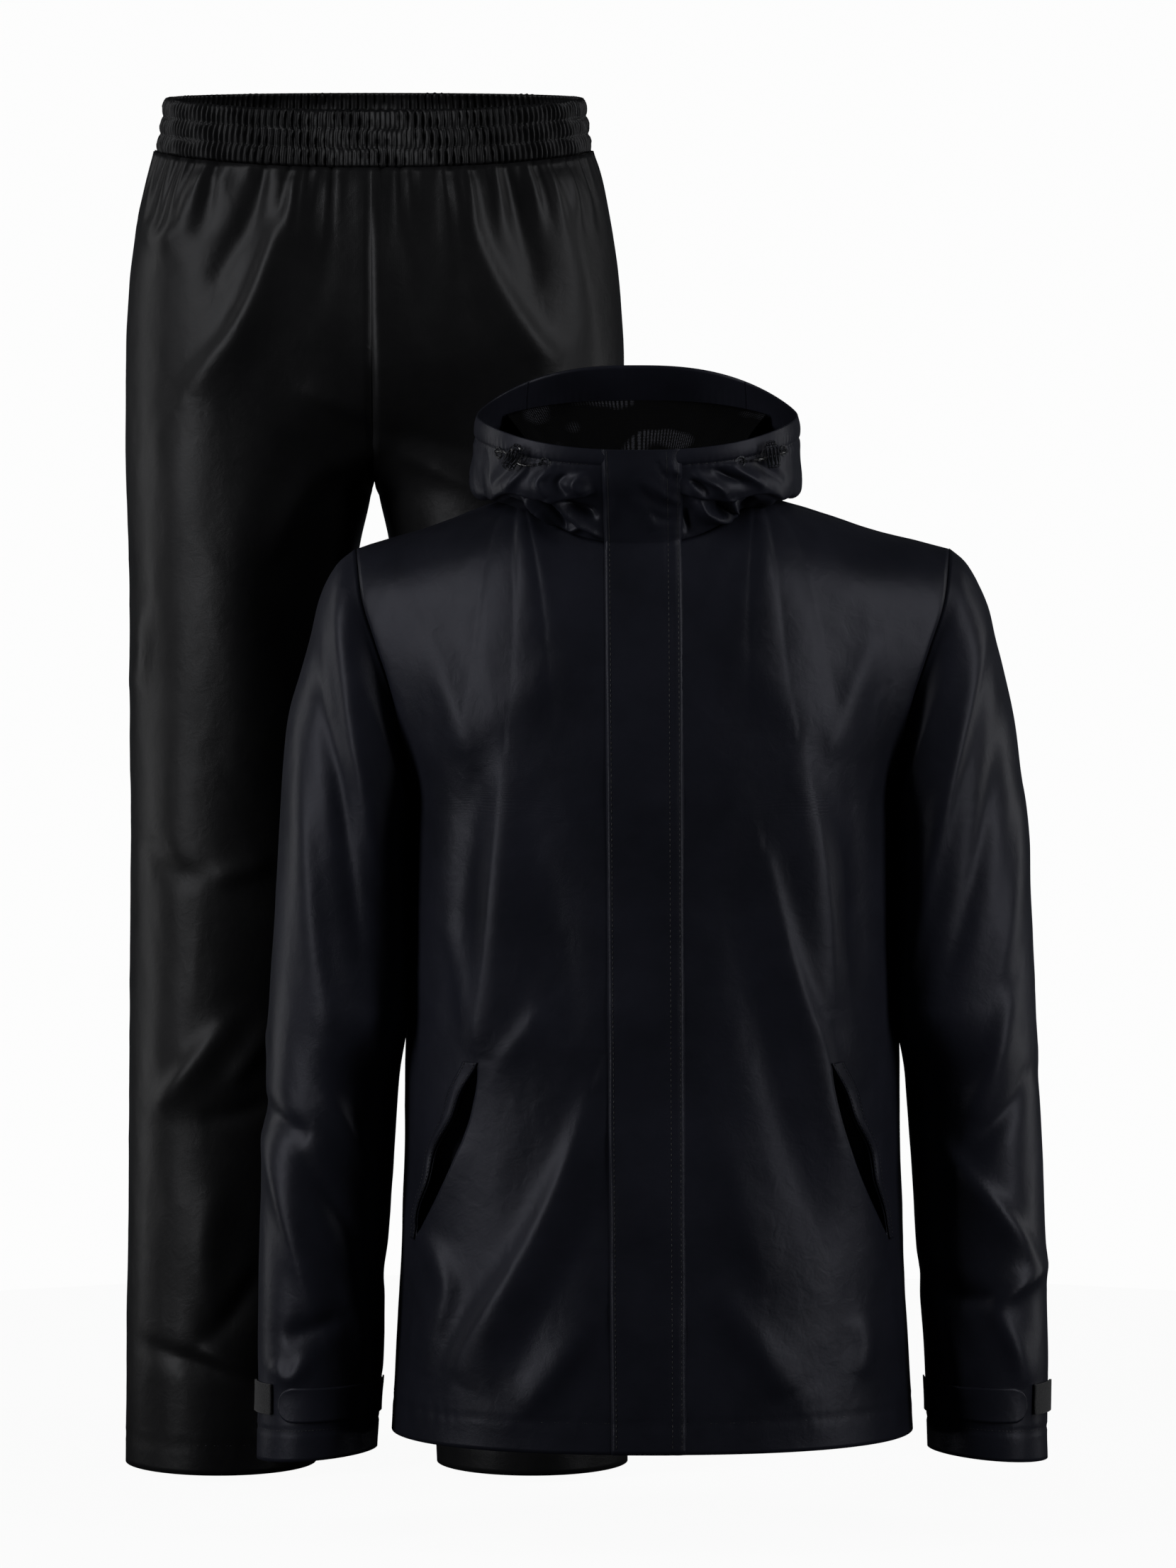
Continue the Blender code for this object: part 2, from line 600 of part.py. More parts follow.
def match_x(surface, x, v):
    """The u of a surface at which it has this x, in its row v."""
    low, high = 0.0, 1.0
    rising = surface(1.0, v).x > surface(0.0, v).x
    for _ in range(30):
        middle = (low + high) / 2
        if (surface(middle, v).x < x) == rising:
            low = middle
        else:
            high = middle
    return (low + high) / 2


def both_fronts(w, t):
    """Both front panels as one surface, from the right side to the left."""
    side, s = (-1, 1 - 2 * w) if w < 0.5 else (1, 2 * w - 1)
    return panel_point(side, 1, s, t)


def hood_front(w, t):
    return hood_point(math.radians(-90 + 180 * w), t)


def flap_surface(u, v):
    """The storm flap, which lies on both fronts and on the front of the hood."""
    free = FLAP_FREE_X["hem"] + (FLAP_FREE_X["top"] - FLAP_FREE_X["hem"]) * v
    sewn = FLAP_SEWN_X["hem"] + (FLAP_SEWN_X["top"] - FLAP_SEWN_X["hem"]) * v
    x = free + (sewn - free) * u
    out = Vector((0, -FLAP_LIFT - WALL, 0))
    if v <= FLAP_BODY_SHARE:
        t = v / FLAP_BODY_SHARE
        place = match_x(both_fronts, x, t)
        return with_folds(both_fronts, JACKET_FOLDS)(place, t) + out
    t = (v - FLAP_BODY_SHARE) / (1 - FLAP_BODY_SHARE)
    return hood_front(match_x(hood_front, x, t), t) + out


def pocket_place(side, across, along):
    """The u and v of a place on the front panel near the pocket mouth.

    along runs from 0 at the bottom end to 1 at the top, across is metres towards the side seam.
    """
    height = POCKET_BOTTOM.height + (POCKET_TOP.height - POCKET_BOTTOM.height) * along
    angle = POCKET_BOTTOM.angle + (POCKET_TOP.angle - POCKET_BOTTOM.angle) * along
    angle += math.degrees(across / POCKET_RADIUS)
    s = math.radians(angle) / (math.pi / 2 - SIDE_SEAM_TURN)
    return (s if side > 0 else 1 - s), panel_share(height)


def pocket_strip(side, start, end, low, high, out, bulge=0.0):
    """A strip on the front panel along the pocket: start and end are metres across it."""
    front = with_folds(front_surface(side), JACKET_FOLDS)

    def surface(u, v):
        share = u if side > 0 else 1 - u
        place = pocket_place(side, start + (end - start) * share, low + (high - low) * v)
        lift = out + bulge * math.sin(math.pi * share) * math.sin(math.pi * v)
        return front(*place) + normal_at(front, *place) * lift

    return surface


def front_patches(side):
    """A front panel in two patches. They meet on a line through the pocket and part at its mouth."""
    front = with_folds(front_surface(side), JACKET_FOLDS)
    panel_turn = math.pi / 2 - SIDE_SEAM_TURN
    bottom, top = panel_share(POCKET_BOTTOM.height), panel_share(POCKET_TOP.height)

    def line(v):
        along = min(max((v - bottom) / (top - bottom), 0.0), 1.0)
        angle = POCKET_BOTTOM.angle + (POCKET_TOP.angle - POCKET_BOTTOM.angle) * along
        gape = POCKET_GAPE / 2 / POCKET_RADIUS / panel_turn * math.sin(math.pi * along)
        return math.radians(angle) / panel_turn, gape

    def inner(u, v):
        seam, gape = line(v)
        s = (seam - gape) * (u if side > 0 else 1 - u)
        return front(s if side > 0 else 1 - s, v)

    def outer(u, v):
        seam, gape = line(v)
        s = 1 - (1 - seam - gape) * (1 - u if side > 0 else u)
        return front(s if side > 0 else 1 - s, v)

    return [inner, outer]


def sleeve_place(side, degrees, height):
    """The u and v of a place on the sleeve, by its angle from the front outwards and its height."""
    turn = math.pi / 2 - math.radians(degrees)
    u = ((math.pi - turn) / (side * 2 * math.pi)) % 1.0
    stops = sorted((row.out_z + row.in_z) / 2 for row in SLEEVE)
    alongs = sorted((row.along for row in SLEEVE), reverse=True)
    return u, 1 - float(np.interp(height, stops, alongs))


def sleeve_strip(side, span, height, width, out, rounded=False):
    """A strip round the sleeve, made from the sleeve's points moved out."""
    sleeve = with_folds(sleeve_surface(side), SLEEVE_FOLDS, closed=True)

    def surface(u, v):
        share = u if side > 0 else 1 - u
        half = width / 2
        if rounded:
            length = math.radians(span[1] - span[0]) * CUFF_RADIUS
            left = length * (1 - share)
            if left < half:
                half *= math.sqrt(max(1 - (1 - left / half) ** 2, 0.05))
        drop = half * (2 * v - 1)
        place = sleeve_place(side, span[0] + (span[1] - span[0]) * share, height + drop)
        return sleeve(*place) + normal_at(sleeve, *place) * out

    return surface


def frame_on(surface, u, v, roll=0.0):
    """Unit directions at a place on a surface: along it, up it and out of it."""
    out = normal_at(surface, u, v)
    up = (Vector((0, 0, 1)) - out * out.z).normalized()
    along = up.cross(out)
    turned = along * math.cos(roll) + up * math.sin(roll)
    return turned, out.cross(turned), out


def mesh_object(name, finish, built):
    mesh = bpy.data.meshes.new(name)
    built.to_mesh(mesh)
    built.free()
    mesh.shade_smooth()
    mesh.materials.append(material(name, finish))
    obj = bpy.data.objects.new(name, mesh)
    PARTS.objects.link(obj)
    return obj


def turned_piece(name, finish, profile, centre, axis, steps=16):
    """A solid turned from a profile of (radius, distance along the axis) pairs."""
    built = bmesh.new()
    verts = [built.verts.new((radius, 0, along)) for radius, along in profile]
    edges = [built.edges.new(pair) for pair in zip(verts, verts[1:])]
    if profile[0][0] > 0:
        edges.append(built.edges.new((verts[-1], verts[0])))
    bmesh.ops.spin(built, geom=verts + edges, axis=(0, 0, 1), cent=(0, 0, 0),
                   angle=2 * math.pi, steps=steps, use_merge=True)
    bmesh.ops.remove_doubles(built, verts=built.verts, dist=0.00001)
    bmesh.ops.recalc_face_normals(built, faces=built.faces)
    turn = Vector((0, 0, 1)).rotation_difference(axis)
    for vert in built.verts:
        vert.co = turn @ vert.co + centre
    return mesh_object(name, finish, built)


def bezier(arch, count):
    """Points along the curve that two ends and two handles give."""
    first, handle_a, handle_b, last = arch
    steps = [i / (count - 1) for i in range(count)]
    return [
        first * (1 - t) ** 3 + handle_a * 3 * t * (1 - t) ** 2
        + handle_b * 3 * t * t * (1 - t) + last * t**3
        for t in steps
    ]


def cord(name, points):
    """A short cord through a few points."""
    curve = bpy.data.curves.new(name, "CURVE")
    curve.dimensions = "3D"
    curve.bevel_depth = CORD_RADIUS
    curve.bevel_resolution = 2
    curve.use_fill_caps = True
    spline = curve.splines.new("POLY")
    spline.points.add(len(points) - 1)
    for at, point in zip(spline.points, points):
        at.co = (*point, 1)
    obj = bpy.data.objects.new(name, curve)
    curve.materials.append(material(name, "cord"))
    PARTS.objects.link(obj)
    return obj


LockPlace = namedtuple("LockPlace", "side inner_angle outer_angle lock_angle v tilt")
LOCKS = [
    LockPlace("right", -28.4, -54.0, -41.2, 0.78, 57.0),
    LockPlace("left", 33.0, 59.0, 46.0, 0.78, 100.0),
]


def hood_hardware(place):
    """Two eyelets, the cord between them and the lock that the cord runs through."""
    around = hood_part(-180, 180)
    ends = []
    for kind, degrees in (("inner", place.inner_angle), ("outer", place.outer_angle)):
        spot = (degrees + 180) / 360, place.v
        out = normal_at(around, *spot)
        centre = around(*spot) + out * (EYELET_LIFT + EYELET_THICK / 2)
        profile = [
            (EYELET_INNER, -EYELET_THICK / 2), (EYELET_OUTER, -EYELET_THICK / 2),
            (EYELET_OUTER * 0.9, EYELET_THICK / 2), (EYELET_INNER * 1.15, EYELET_THICK / 2),
        ]
        turned_piece(f"eyelet_{kind}_{place.side}", "eyelet_metal", profile, centre, out, 10)
        ends.append((kind, centre + out * EYELET_LIFT, out))
    spot = (place.lock_angle + 180) / 360, place.v
    along, _, out = frame_on(around, *spot, math.radians(place.tilt))
    centre = around(*spot) + out * (LOCK_RADIUS + LOCK_CLEAR)
    half = LOCK_LENGTH / 2
    profile = [
        (0.0, -half), (LOCK_RADIUS * 0.8, -half), (LOCK_RADIUS, -half + LOCK_EDGE),
        (LOCK_RADIUS, half - LOCK_EDGE), (LOCK_RADIUS * 0.85, half),
        (BUTTON_RADIUS, half), (BUTTON_RADIUS, half + BUTTON_LENGTH * 0.7),
        (BUTTON_RADIUS * 0.7, half + BUTTON_LENGTH), (0.0, half + BUTTON_LENGTH),
    ]
    turned_piece(f"cord_lock_{place.side}", "gloss_plastic", profile, centre, along, 12)
    side_way = along.cross(out).normalized()
    for kind, start, start_out in ends:
        toward = side_way if (start - centre).dot(side_way) > 0 else -side_way
        finish = centre + toward * (LOCK_RADIUS + SEAM_GAP)
        arch = [start, start + start_out * CORD_ARCH, finish + toward * CORD_ARCH, finish]
        cord(f"hood_cord_{kind}_{place.side}", bezier(arch, 7))


def jacket():
    wall("jacket_back", "jacket_cloth", [with_folds(back_surface, JACKET_FOLDS)], 18, PANEL_ROWS,
         levels=PANEL_LEVELS)
    for side, name in ((1, "left"), (-1, "right")):
        wall("jacket_front_" + name, "jacket_cloth", front_patches(side), 6, PANEL_ROWS,
             levels=PANEL_LEVELS)
        wall("sleeve_" + name, "jacket_cloth",
             [with_folds(sleeve_surface(side), SLEEVE_FOLDS, closed=True)], 18, 16, closed=True)
        welt_start = POCKET_GAPE / 2 + WELT_INSET
        wall("pocket_welt_" + name, "jacket_cloth",
             [pocket_strip(side, welt_start, welt_start + WELT_WIDTH, 0.0, 1.0, WELT_LIFT + WALL)],
             2, POCKET_ROWS)
        wall("pocket_bag_" + name, "jacket_cloth",
             [pocket_strip(side, BAG_SPAN[0], BAG_SPAN[1], -0.10, 1.06, -WALL - BAG_GAP, -BAG_DEPTH)],
             5, 6)
        wall("cuff_tab_" + name, "jacket_cloth",
             [sleeve_strip(side, TAB_SPAN, TAB_HEIGHT, TAB_WIDTH, LIFT + WALL, True)], 10, 2)
        wall("cuff_loop_tape_" + name, "loop_tape",
             [sleeve_strip(side, TAPE_SPAN, TAPE_HEIGHT, TAPE_WIDTH, LIFT + TAPE_THICK)],
             4, 1, TAPE_THICK)
    wall("storm_flap", "jacket_cloth", [flap_surface], 3, PANEL_ROWS + HOOD_ROWS, levels=FLAP_LEVELS)


def hood():
    gap = HOOD_SEAM_TURN
    turn = HOOD_CENTRE_ANGLE
    wall("hood_right", "jacket_cloth", [hood_part(-180 + turn + gap, -gap)], 13, HOOD_ROWS)
    wall("hood_left", "jacket_cloth", [hood_part(gap, 180 - turn - gap)], 13, HOOD_ROWS)
    wall("hood_centre", "jacket_cloth", [hood_part(180 - turn + gap, 180 + turn - gap)], 7, HOOD_ROWS)
    for place in LOCKS:
        hood_hardware(place)


def mesh_lining():
    """The mesh inside the back of the hood, from under the casing towards the neck seam."""

    def surface(u, v):
        angle = math.radians(180 - MESH_SPAN / 2 + MESH_SPAN * u)
        rim, neck = hood_point(angle, MESH_TOP), neck_point(angle)
        outward = Vector((math.sin(angle), -math.cos(angle), 0))
        low = neck - outward * MESH_LOW_IN + Vector((0, 0, MESH_LOW_UP))
        high = rim - outward * MESH_INSET
        return low * (1 - v) + high * v

    wall("hood_mesh", "mesh_cloth", [surface], 8, 3, MESH_THICK)


def trousers():
    for side, name in ((1, "left"), (-1, "right")):
        for facing, part in ((1, "front"), (-1, "back")):
            wall(f"trouser_{part}_{name}", "trouser_cloth",
                 [with_folds(trouser_surface(side, facing), TROUSER_FOLDS)], 10, 20)
    wall("waistband", "trouser_cloth", [waistband_surface], GATHERS * 2, SHIRRED_ROWS,
         BAND_WALL, closed=True)


clear_scene()
PARTS = collection("rain_suit")
jacket()
hood()
mesh_lining()
trousers()
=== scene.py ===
# %% [markdown]
# # A rain suit, jacket and trousers, filled out with no wearer
#
# The solids in the frame give each cut-and-sewn piece its size and place. This script gives
# each one its cloth: the same surface with a fine grid, its listed creases, the
# stitches, and materials for coated cloth, mesh, loop tape, plastic, cord and metal.
# Metres, +Z up, the front faces -Y. Right and left are the wearer's, so right is at -X.

import math
from collections import namedtuple
from functools import partial

import bmesh
import bpy
import numpy as np
from mathutils import Matrix, Vector, noise


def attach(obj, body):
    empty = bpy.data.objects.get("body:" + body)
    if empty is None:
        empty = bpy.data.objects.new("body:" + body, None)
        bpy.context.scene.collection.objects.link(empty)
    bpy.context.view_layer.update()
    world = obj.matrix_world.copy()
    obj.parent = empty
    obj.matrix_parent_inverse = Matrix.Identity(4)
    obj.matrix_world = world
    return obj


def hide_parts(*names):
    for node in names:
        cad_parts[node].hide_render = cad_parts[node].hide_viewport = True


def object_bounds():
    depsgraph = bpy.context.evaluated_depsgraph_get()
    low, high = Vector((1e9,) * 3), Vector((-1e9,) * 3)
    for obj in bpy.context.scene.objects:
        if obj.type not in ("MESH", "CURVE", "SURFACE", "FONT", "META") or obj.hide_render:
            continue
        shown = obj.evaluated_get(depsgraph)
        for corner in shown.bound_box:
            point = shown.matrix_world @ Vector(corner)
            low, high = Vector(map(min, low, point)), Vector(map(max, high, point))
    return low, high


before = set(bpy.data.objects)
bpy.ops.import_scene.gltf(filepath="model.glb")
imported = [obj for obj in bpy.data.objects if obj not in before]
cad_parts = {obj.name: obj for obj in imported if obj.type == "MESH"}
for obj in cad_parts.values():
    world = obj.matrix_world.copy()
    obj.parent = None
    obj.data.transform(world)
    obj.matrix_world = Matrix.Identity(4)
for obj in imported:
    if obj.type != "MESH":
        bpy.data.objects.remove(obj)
CAD_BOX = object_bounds()
for corner, label in zip(CAD_BOX, ("from", "to")):
    print("the solids reach", label, [round(c, 3) for c in corner])

# %% [markdown]
# ## Sizes of the pattern
#
# A garment maker works from a pattern: the girth at a few heights, the neck seam, the
# shoulder line and the armhole. The tables below are that pattern, and the smooth curve
# through each column gives every height between two rows.

# %% sizes of the pattern
CLOTH = 0.0009  # the cloth's thickness with its coating
LIFT = 0.0006  # from a panel to what lies on it
ROUNDNESS = 2.3  # of a level section: 2 is an ellipse, more is squarer
HOOD_ROUNDNESS = 2.6
SIDES = ((1, "left"), (-1, "right"))
JACKET_X = 0.002
HOOD_X = -0.010
SLEEVE_Y = 0.006
TROUSERS_X = -0.2175
TROUSERS_Y = 0.320
HEM_Z = -0.681
UNDERARM_Z = -0.194

Section = namedtuple("Section", "height half_width front back")
BODY = [
    Section(HEM_Z, 0.2020, 0.148, 0.136),
    Section(-0.600, 0.1970, 0.147, 0.134),
    Section(-0.500, 0.1925, 0.145, 0.131),
    Section(-0.400, 0.1905, 0.143, 0.129),
    Section(-0.300, 0.1885, 0.142, 0.127),
    Section(UNDERARM_Z, 0.1885, 0.140, 0.126),
]

NECK_HALF = 0.088
NECK_FRONT = 0.098
NECK_BACK = 0.086
NECK_Z = {"front": 0.012, "side": 0.044, "back": 0.052}
NECK_SHARE = 0.36
ShoulderPoint = namedtuple("ShoulderPoint", "out height")
SHOULDER = [
    ShoulderPoint(0.088, 0.0440),
    ShoulderPoint(0.125, 0.0315),
    ShoulderPoint(0.175, 0.0145),
    ShoulderPoint(0.205, 0.0068),
    ShoulderPoint(0.228, 0.0000),
]
ArmholePoint = namedtuple("ArmholePoint", "height out")
ARMHOLE = [
    ArmholePoint(UNDERARM_Z, 0.1885),
    ArmholePoint(-0.150, 0.1915),
    ArmholePoint(-0.113, 0.1980),
    ArmholePoint(-0.070, 0.2115),
    ArmholePoint(-0.040, 0.2215),
    ArmholePoint(0.000, 0.2280),
]
YOKE_SHARE = 0.30
SHOULDER_ROUNDNESS = 2.8
CHEST_SWELL = 0.006
CORNER_SPREAD = 0.22  # how wide the neck's corner softens below its seam, as a share of a panel
ARMHOLE_FRONT = 0.064
ARMHOLE_BACK = 0.074

SleeveRow = namedtuple("SleeveRow", "along out_x out_z in_x in_z front back")
SLEEVE = [
    SleeveRow(0.000, 0.2280, 0.0000, 0.1885, -0.194, 0.064, 0.074),
    SleeveRow(0.020, 0.2400, -0.0090, 0.1898, -0.196, 0.0655, 0.0750),
    SleeveRow(0.045, 0.2505, -0.0250, 0.1912, -0.198, 0.067, 0.076),
    SleeveRow(0.110, 0.2665, -0.0780, 0.1922, -0.203, 0.069, 0.077),
    SleeveRow(0.180, 0.2785, -0.1300, 0.1924, -0.211, 0.068, 0.075),
    SleeveRow(0.260, 0.2860, -0.1950, 0.1924, -0.230, 0.066, 0.072),
    SleeveRow(0.345, 0.2910, -0.2650, 0.1922, -0.272, 0.064, 0.068),
    SleeveRow(0.460, 0.2960, -0.3500, 0.1925, -0.352, 0.061, 0.062),
    SleeveRow(0.580, 0.3000, -0.4350, 0.1975, -0.436, 0.058, 0.058),
    SleeveRow(0.700, 0.3035, -0.5200, 0.2030, -0.520, 0.055, 0.055),
    SleeveRow(0.820, 0.3055, -0.6000, 0.2085, -0.598, 0.053, 0.052),
    SleeveRow(0.915, 0.3060, -0.6550, 0.2115, -0.650, 0.051, 0.050),
    SleeveRow(1.000, 0.3065, -0.7040, 0.2130, -0.695, 0.050, 0.048),
]
ARMHOLE_GAP = 0.0003
CUFF_FORWARD = 0.012
NESTLE_IN = 0.0052  # below the underarm each sleeve rests against the body, a little to the front
NESTLE_FORWARD = 0.036

HoodLoop = namedtuple("HoodLoop", "along half_width front back z_front z_side z_back")
HOOD = [
    HoodLoop(0.00, NECK_HALF, NECK_FRONT, NECK_BACK, 0.012, 0.044, 0.052),
    HoodLoop(0.12, 0.096, 0.1005, 0.112, 0.024, 0.043, 0.020),
    HoodLoop(0.25, 0.108, 0.1035, 0.142, 0.037, 0.045, 0.002),
    HoodLoop(0.36, 0.120, 0.1070, 0.158, 0.047, 0.0445, 0.000),
    HoodLoop(0.46, 0.1235, 0.1105, 0.163, 0.054, 0.0525, 0.018),
    HoodLoop(0.70, 0.1250, 0.1150, 0.160, 0.067, 0.078, 0.072),
    HoodLoop(1.00, 0.1235, 0.1165, 0.138, 0.085, 0.104, 0.134),
]
HOOD_CENTRE_ANGLE = 38.0
BACK_SAG = 0.5  # how much sooner the roll behind the shoulders hangs down

TROUSER_HIPS = [
    Section(0.020, 0.1980, 0.120, 0.132),
    Section(0.098, 0.1980, 0.123, 0.137),
    Section(0.156, 0.1965, 0.123, 0.135),
    Section(0.219, 0.1910, 0.120, 0.130),
    Section(0.262, 0.1820, 0.115, 0.123),
    Section(0.292, 0.1725, 0.109, 0.115),
]
LegRow = namedtuple("LegRow", "height outer inner front back")
LEG = [
    LegRow(-0.757, 0.2015, 0.0470, 0.083, 0.086),
    LegRow(-0.600, 0.1990, 0.0395, 0.085, 0.087),
    LegRow(-0.450, 0.1970, 0.0320, 0.088, 0.090),
    LegRow(-0.300, 0.1955, 0.0245, 0.092, 0.095),
    LegRow(-0.140, 0.1955, 0.0165, 0.098, 0.102),
    LegRow(-0.020, 0.1960, 0.0105, 0.106, 0.113),
    LegRow(0.022, 0.1975, 0.0010, 0.112, 0.122),
    LegRow(0.140, 0.1980, 0.0010, 0.118, 0.130),
]
TROUSER_HEM_Z = -0.757
CROTCH_Z = 0.022
CROTCH_GAP = 0.0014
RISE_Z = 0.150
CROTCH_REACH = 0.38  # how far round a panel the crotch still shapes it
LEG_STARTS = (-0.10, 0.17)  # between these heights the hips become legs
BAND_BOTTOM = {"side": 0.2930, "front": 0.2850}
BAND_TOP = {"side": 0.3355, "front": 0.3300}
BAND_HALF = {"bottom": 0.1720, "top": 0.1660}
BAND_FRONT = {"bottom": 0.109, "top": 0.105}
BAND_BACK = {"bottom": 0.115, "top": 0.111}

# %% [markdown]
# ## Creases
#
# Coated cloth creases in long soft ridges that start where it is held: at the armhole, the
# pocket ends, the fly and the waistband. Each row is one crease: the points that it runs
# through as seen from the front (across, up), its half width, its height (a trough where it
# is negative) and, where it has one, its lean, which makes one side of it steeper than the
# other. Lengths are in millimetres. The ones at the back follow the same habits.

# %% creases
Crease = namedtuple("Crease", "side path width height lean")


def from_millimetres(x, z):
    return x / 1000, z / 1000


def creases(side, rows, spot=from_millimetres):
    """The creases of one side from their rows. A path's points become metres by spot."""
    return [Crease(side, [spot(*point) for point in path], width / 1000, height / 1000, *(lean or [0]))
            for path, width, height, *lean in rows]


BODY_CREASES = creases("front", [
    # the wearer's right front: from the armhole down, and from the fly to the hem
    ([(-110, -150), (-117, -241), (-125, -327), (-130, -380)], 13, 7, .3),
    ([(-135, -160), (-142, -245), (-150, -320)], 10, -3),
    ([(-156, -280), (-144, -327), (-134, -372)], 8, 3.5, .2),
    ([(-45, -405), (-62, -459), (-85, -511), (-108, -553), (-132, -593), (-150, -630)], 15, 8.5, .35),
    ([(-30, -455), (-55, -520), (-85, -575), (-110, -625)], 12, -3.5),
    ([(-38, -570), (-69, -615), (-96, -650)], 11, 5, -.3),
    ([(-146, -445), (-166, -490), (-175, -515)], 9, 5, .2),
    ([(-175, -515), (-161, -539), (-155, -563), (-165, -598), (-172, -630)], 9, 5.5, -.2),
    ([(-80, -339), (-96, -360), (-117, -388)], 10, 3, .3),
    ([(-60, -70), (-100, -105), (-150, -150)], 18, 3),
    ([(-170, -60), (-150, -110), (-138, -150)], 12, 3.5, -.2),
    ([(-95, -200), (-70, -290), (-60, -370)], 16, -3),
    # the wearer's left front
    ([(112, -140), (125, -211), (133, -280), (137, -345)], 14, 7, -.3),
    ([(150, -170), (158, -250), (160, -320)], 10, -3),
    ([(87, -224), (98, -274), (112, -327), (129, -372), (141, -426), (155, -468), (169, -513),
      (182, -562)], 11, 6.2, -.35),
    ([(60, -250), (80, -350), (105, -440), (130, -520)], 14, -3.5),
    ([(45, -548), (76, -593), (105, -638)], 13, 5.5, .2),
    ([(161, -580), (165, -604), (160, -628)], 8, 3.5),
    ([(55, -65), (95, -100), (145, -150)], 18, 2.8),
    ([(172, -60), (152, -105), (138, -150)], 12, 3.5, .2),
    ([(45, -420), (70, -500), (85, -560)], 14, 3, .2),
]) + creases("back", [
    ([(-125, -110), (-105, -190), (-85, -300), (-70, -420)], 17, 7, .3),
    ([(130, -120), (110, -210), (85, -330), (70, -460)], 17, 7, -.3),
    ([(-90, -60), (-30, -85), (45, -80), (100, -55)], 16, 4, .2),
    ([(-20, -360), (-65, -470), (-110, -560), (-135, -630)], 16, 6.2, .3),
    ([(35, -400), (80, -500), (120, -580), (145, -640)], 16, 6.2, -.3),
    ([(0, -150), (8, -260), (-4, -380)], 14, -4),
    ([(-165, -260), (-130, -330), (-110, -380)], 12, 4.5, .2),
    ([(165, -240), (140, -320), (115, -370)], 12, 4.5, -.2),
    ([(-30, -560), (10, -600), (60, -640)], 13, 4),
])
SLEEVE_CREASES = creases("front", [
    ([(-242, -22), (-234, -84), (-226, -140), (-220, -170), (-209, -238)], 8.5, 5.5, .3),
    ([(-262, -55), (-252, -120), (-239, -178), (-228, -265), (-216, -348)], 7, -4.5),
    ([(-275, -110), (-266, -200), (-258, -290), (-246, -370)], 11, 4.5, -.3),
    ([(-302, -425), (-284, -440), (-262, -447)], 7, -5),
    ([(-298, -447), (-286, -485), (-277, -519), (-256, -590)], 9.5, 6.2, .3),
    ([(-282, -604), (-260, -597), (-240, -590)], 6.5, -4),
    ([(-292, -626), (-277, -636), (-262, -617)], 6, 3.5),
    ([(-250, -412), (-228, -447), (-209, -484)], 7.5, 4.5, -.2),
    ([(-270, -460), (-239, -508), (-200, -570)], 8, -4.2),
    ([(-235, -560), (-222, -600), (-216, -640)], 8, 4, .2),
    ([(-225, -290), (-214, -340), (-203, -400)], 9, 3.5),
    ([(258, -50), (241, -120), (225, -189), (198, -325)], 8, 5.5, -.3),
    ([(276, -90), (262, -180), (246, -260), (226, -330)], 8.5, -4),
    ([(290, -180), (280, -260), (268, -330)], 10, 4, .2),
    ([(279, -335), (264, -387), (244, -435)], 10, 6.2, .2),
    ([(296, -395), (272, -432), (236, -470)], 8, -4.5),
    ([(222, -452), (256, -491), (283, -524), (297, -552)], 8.5, 5.5, -.3),
    ([(306, -550), (286, -563), (264, -578)], 7, 4.8),
    ([(208, -556), (236, -571), (266, -574)], 7.5, -4.8),
    ([(264, -578), (280, -612), (289, -643)], 8, 4.8, .2),
    ([(225, -585), (235, -620), (240, -655)], 8, 3.5),
]) + creases("back", [
    ([(-250, -40), (-240, -120), (-225, -220)], 9, 5.5, .3),
    ([(250, -40), (240, -130), (222, -240)], 9, 5.5, -.3),
    ([(-296, -370), (-270, -410), (-225, -440)], 9, 5.8),
    ([(-292, -410), (-262, -455), (-215, -500)], 8, -4.5),
    ([(-290, -470), (-262, -520), (-225, -560)], 9, 5.2, .2),
    ([(298, -380), (272, -425), (225, -455)], 9, 5.8),
    ([(292, -430), (262, -475), (215, -510)], 8, -4.5),
    ([(298, -500), (268, -545), (228, -590)], 9, 5.2, .2),
    ([(-285, -600), (-250, -620), (-222, -650)], 8, 4),
    ([(290, -600), (255, -625), (224, -655)], 8, 4),
])
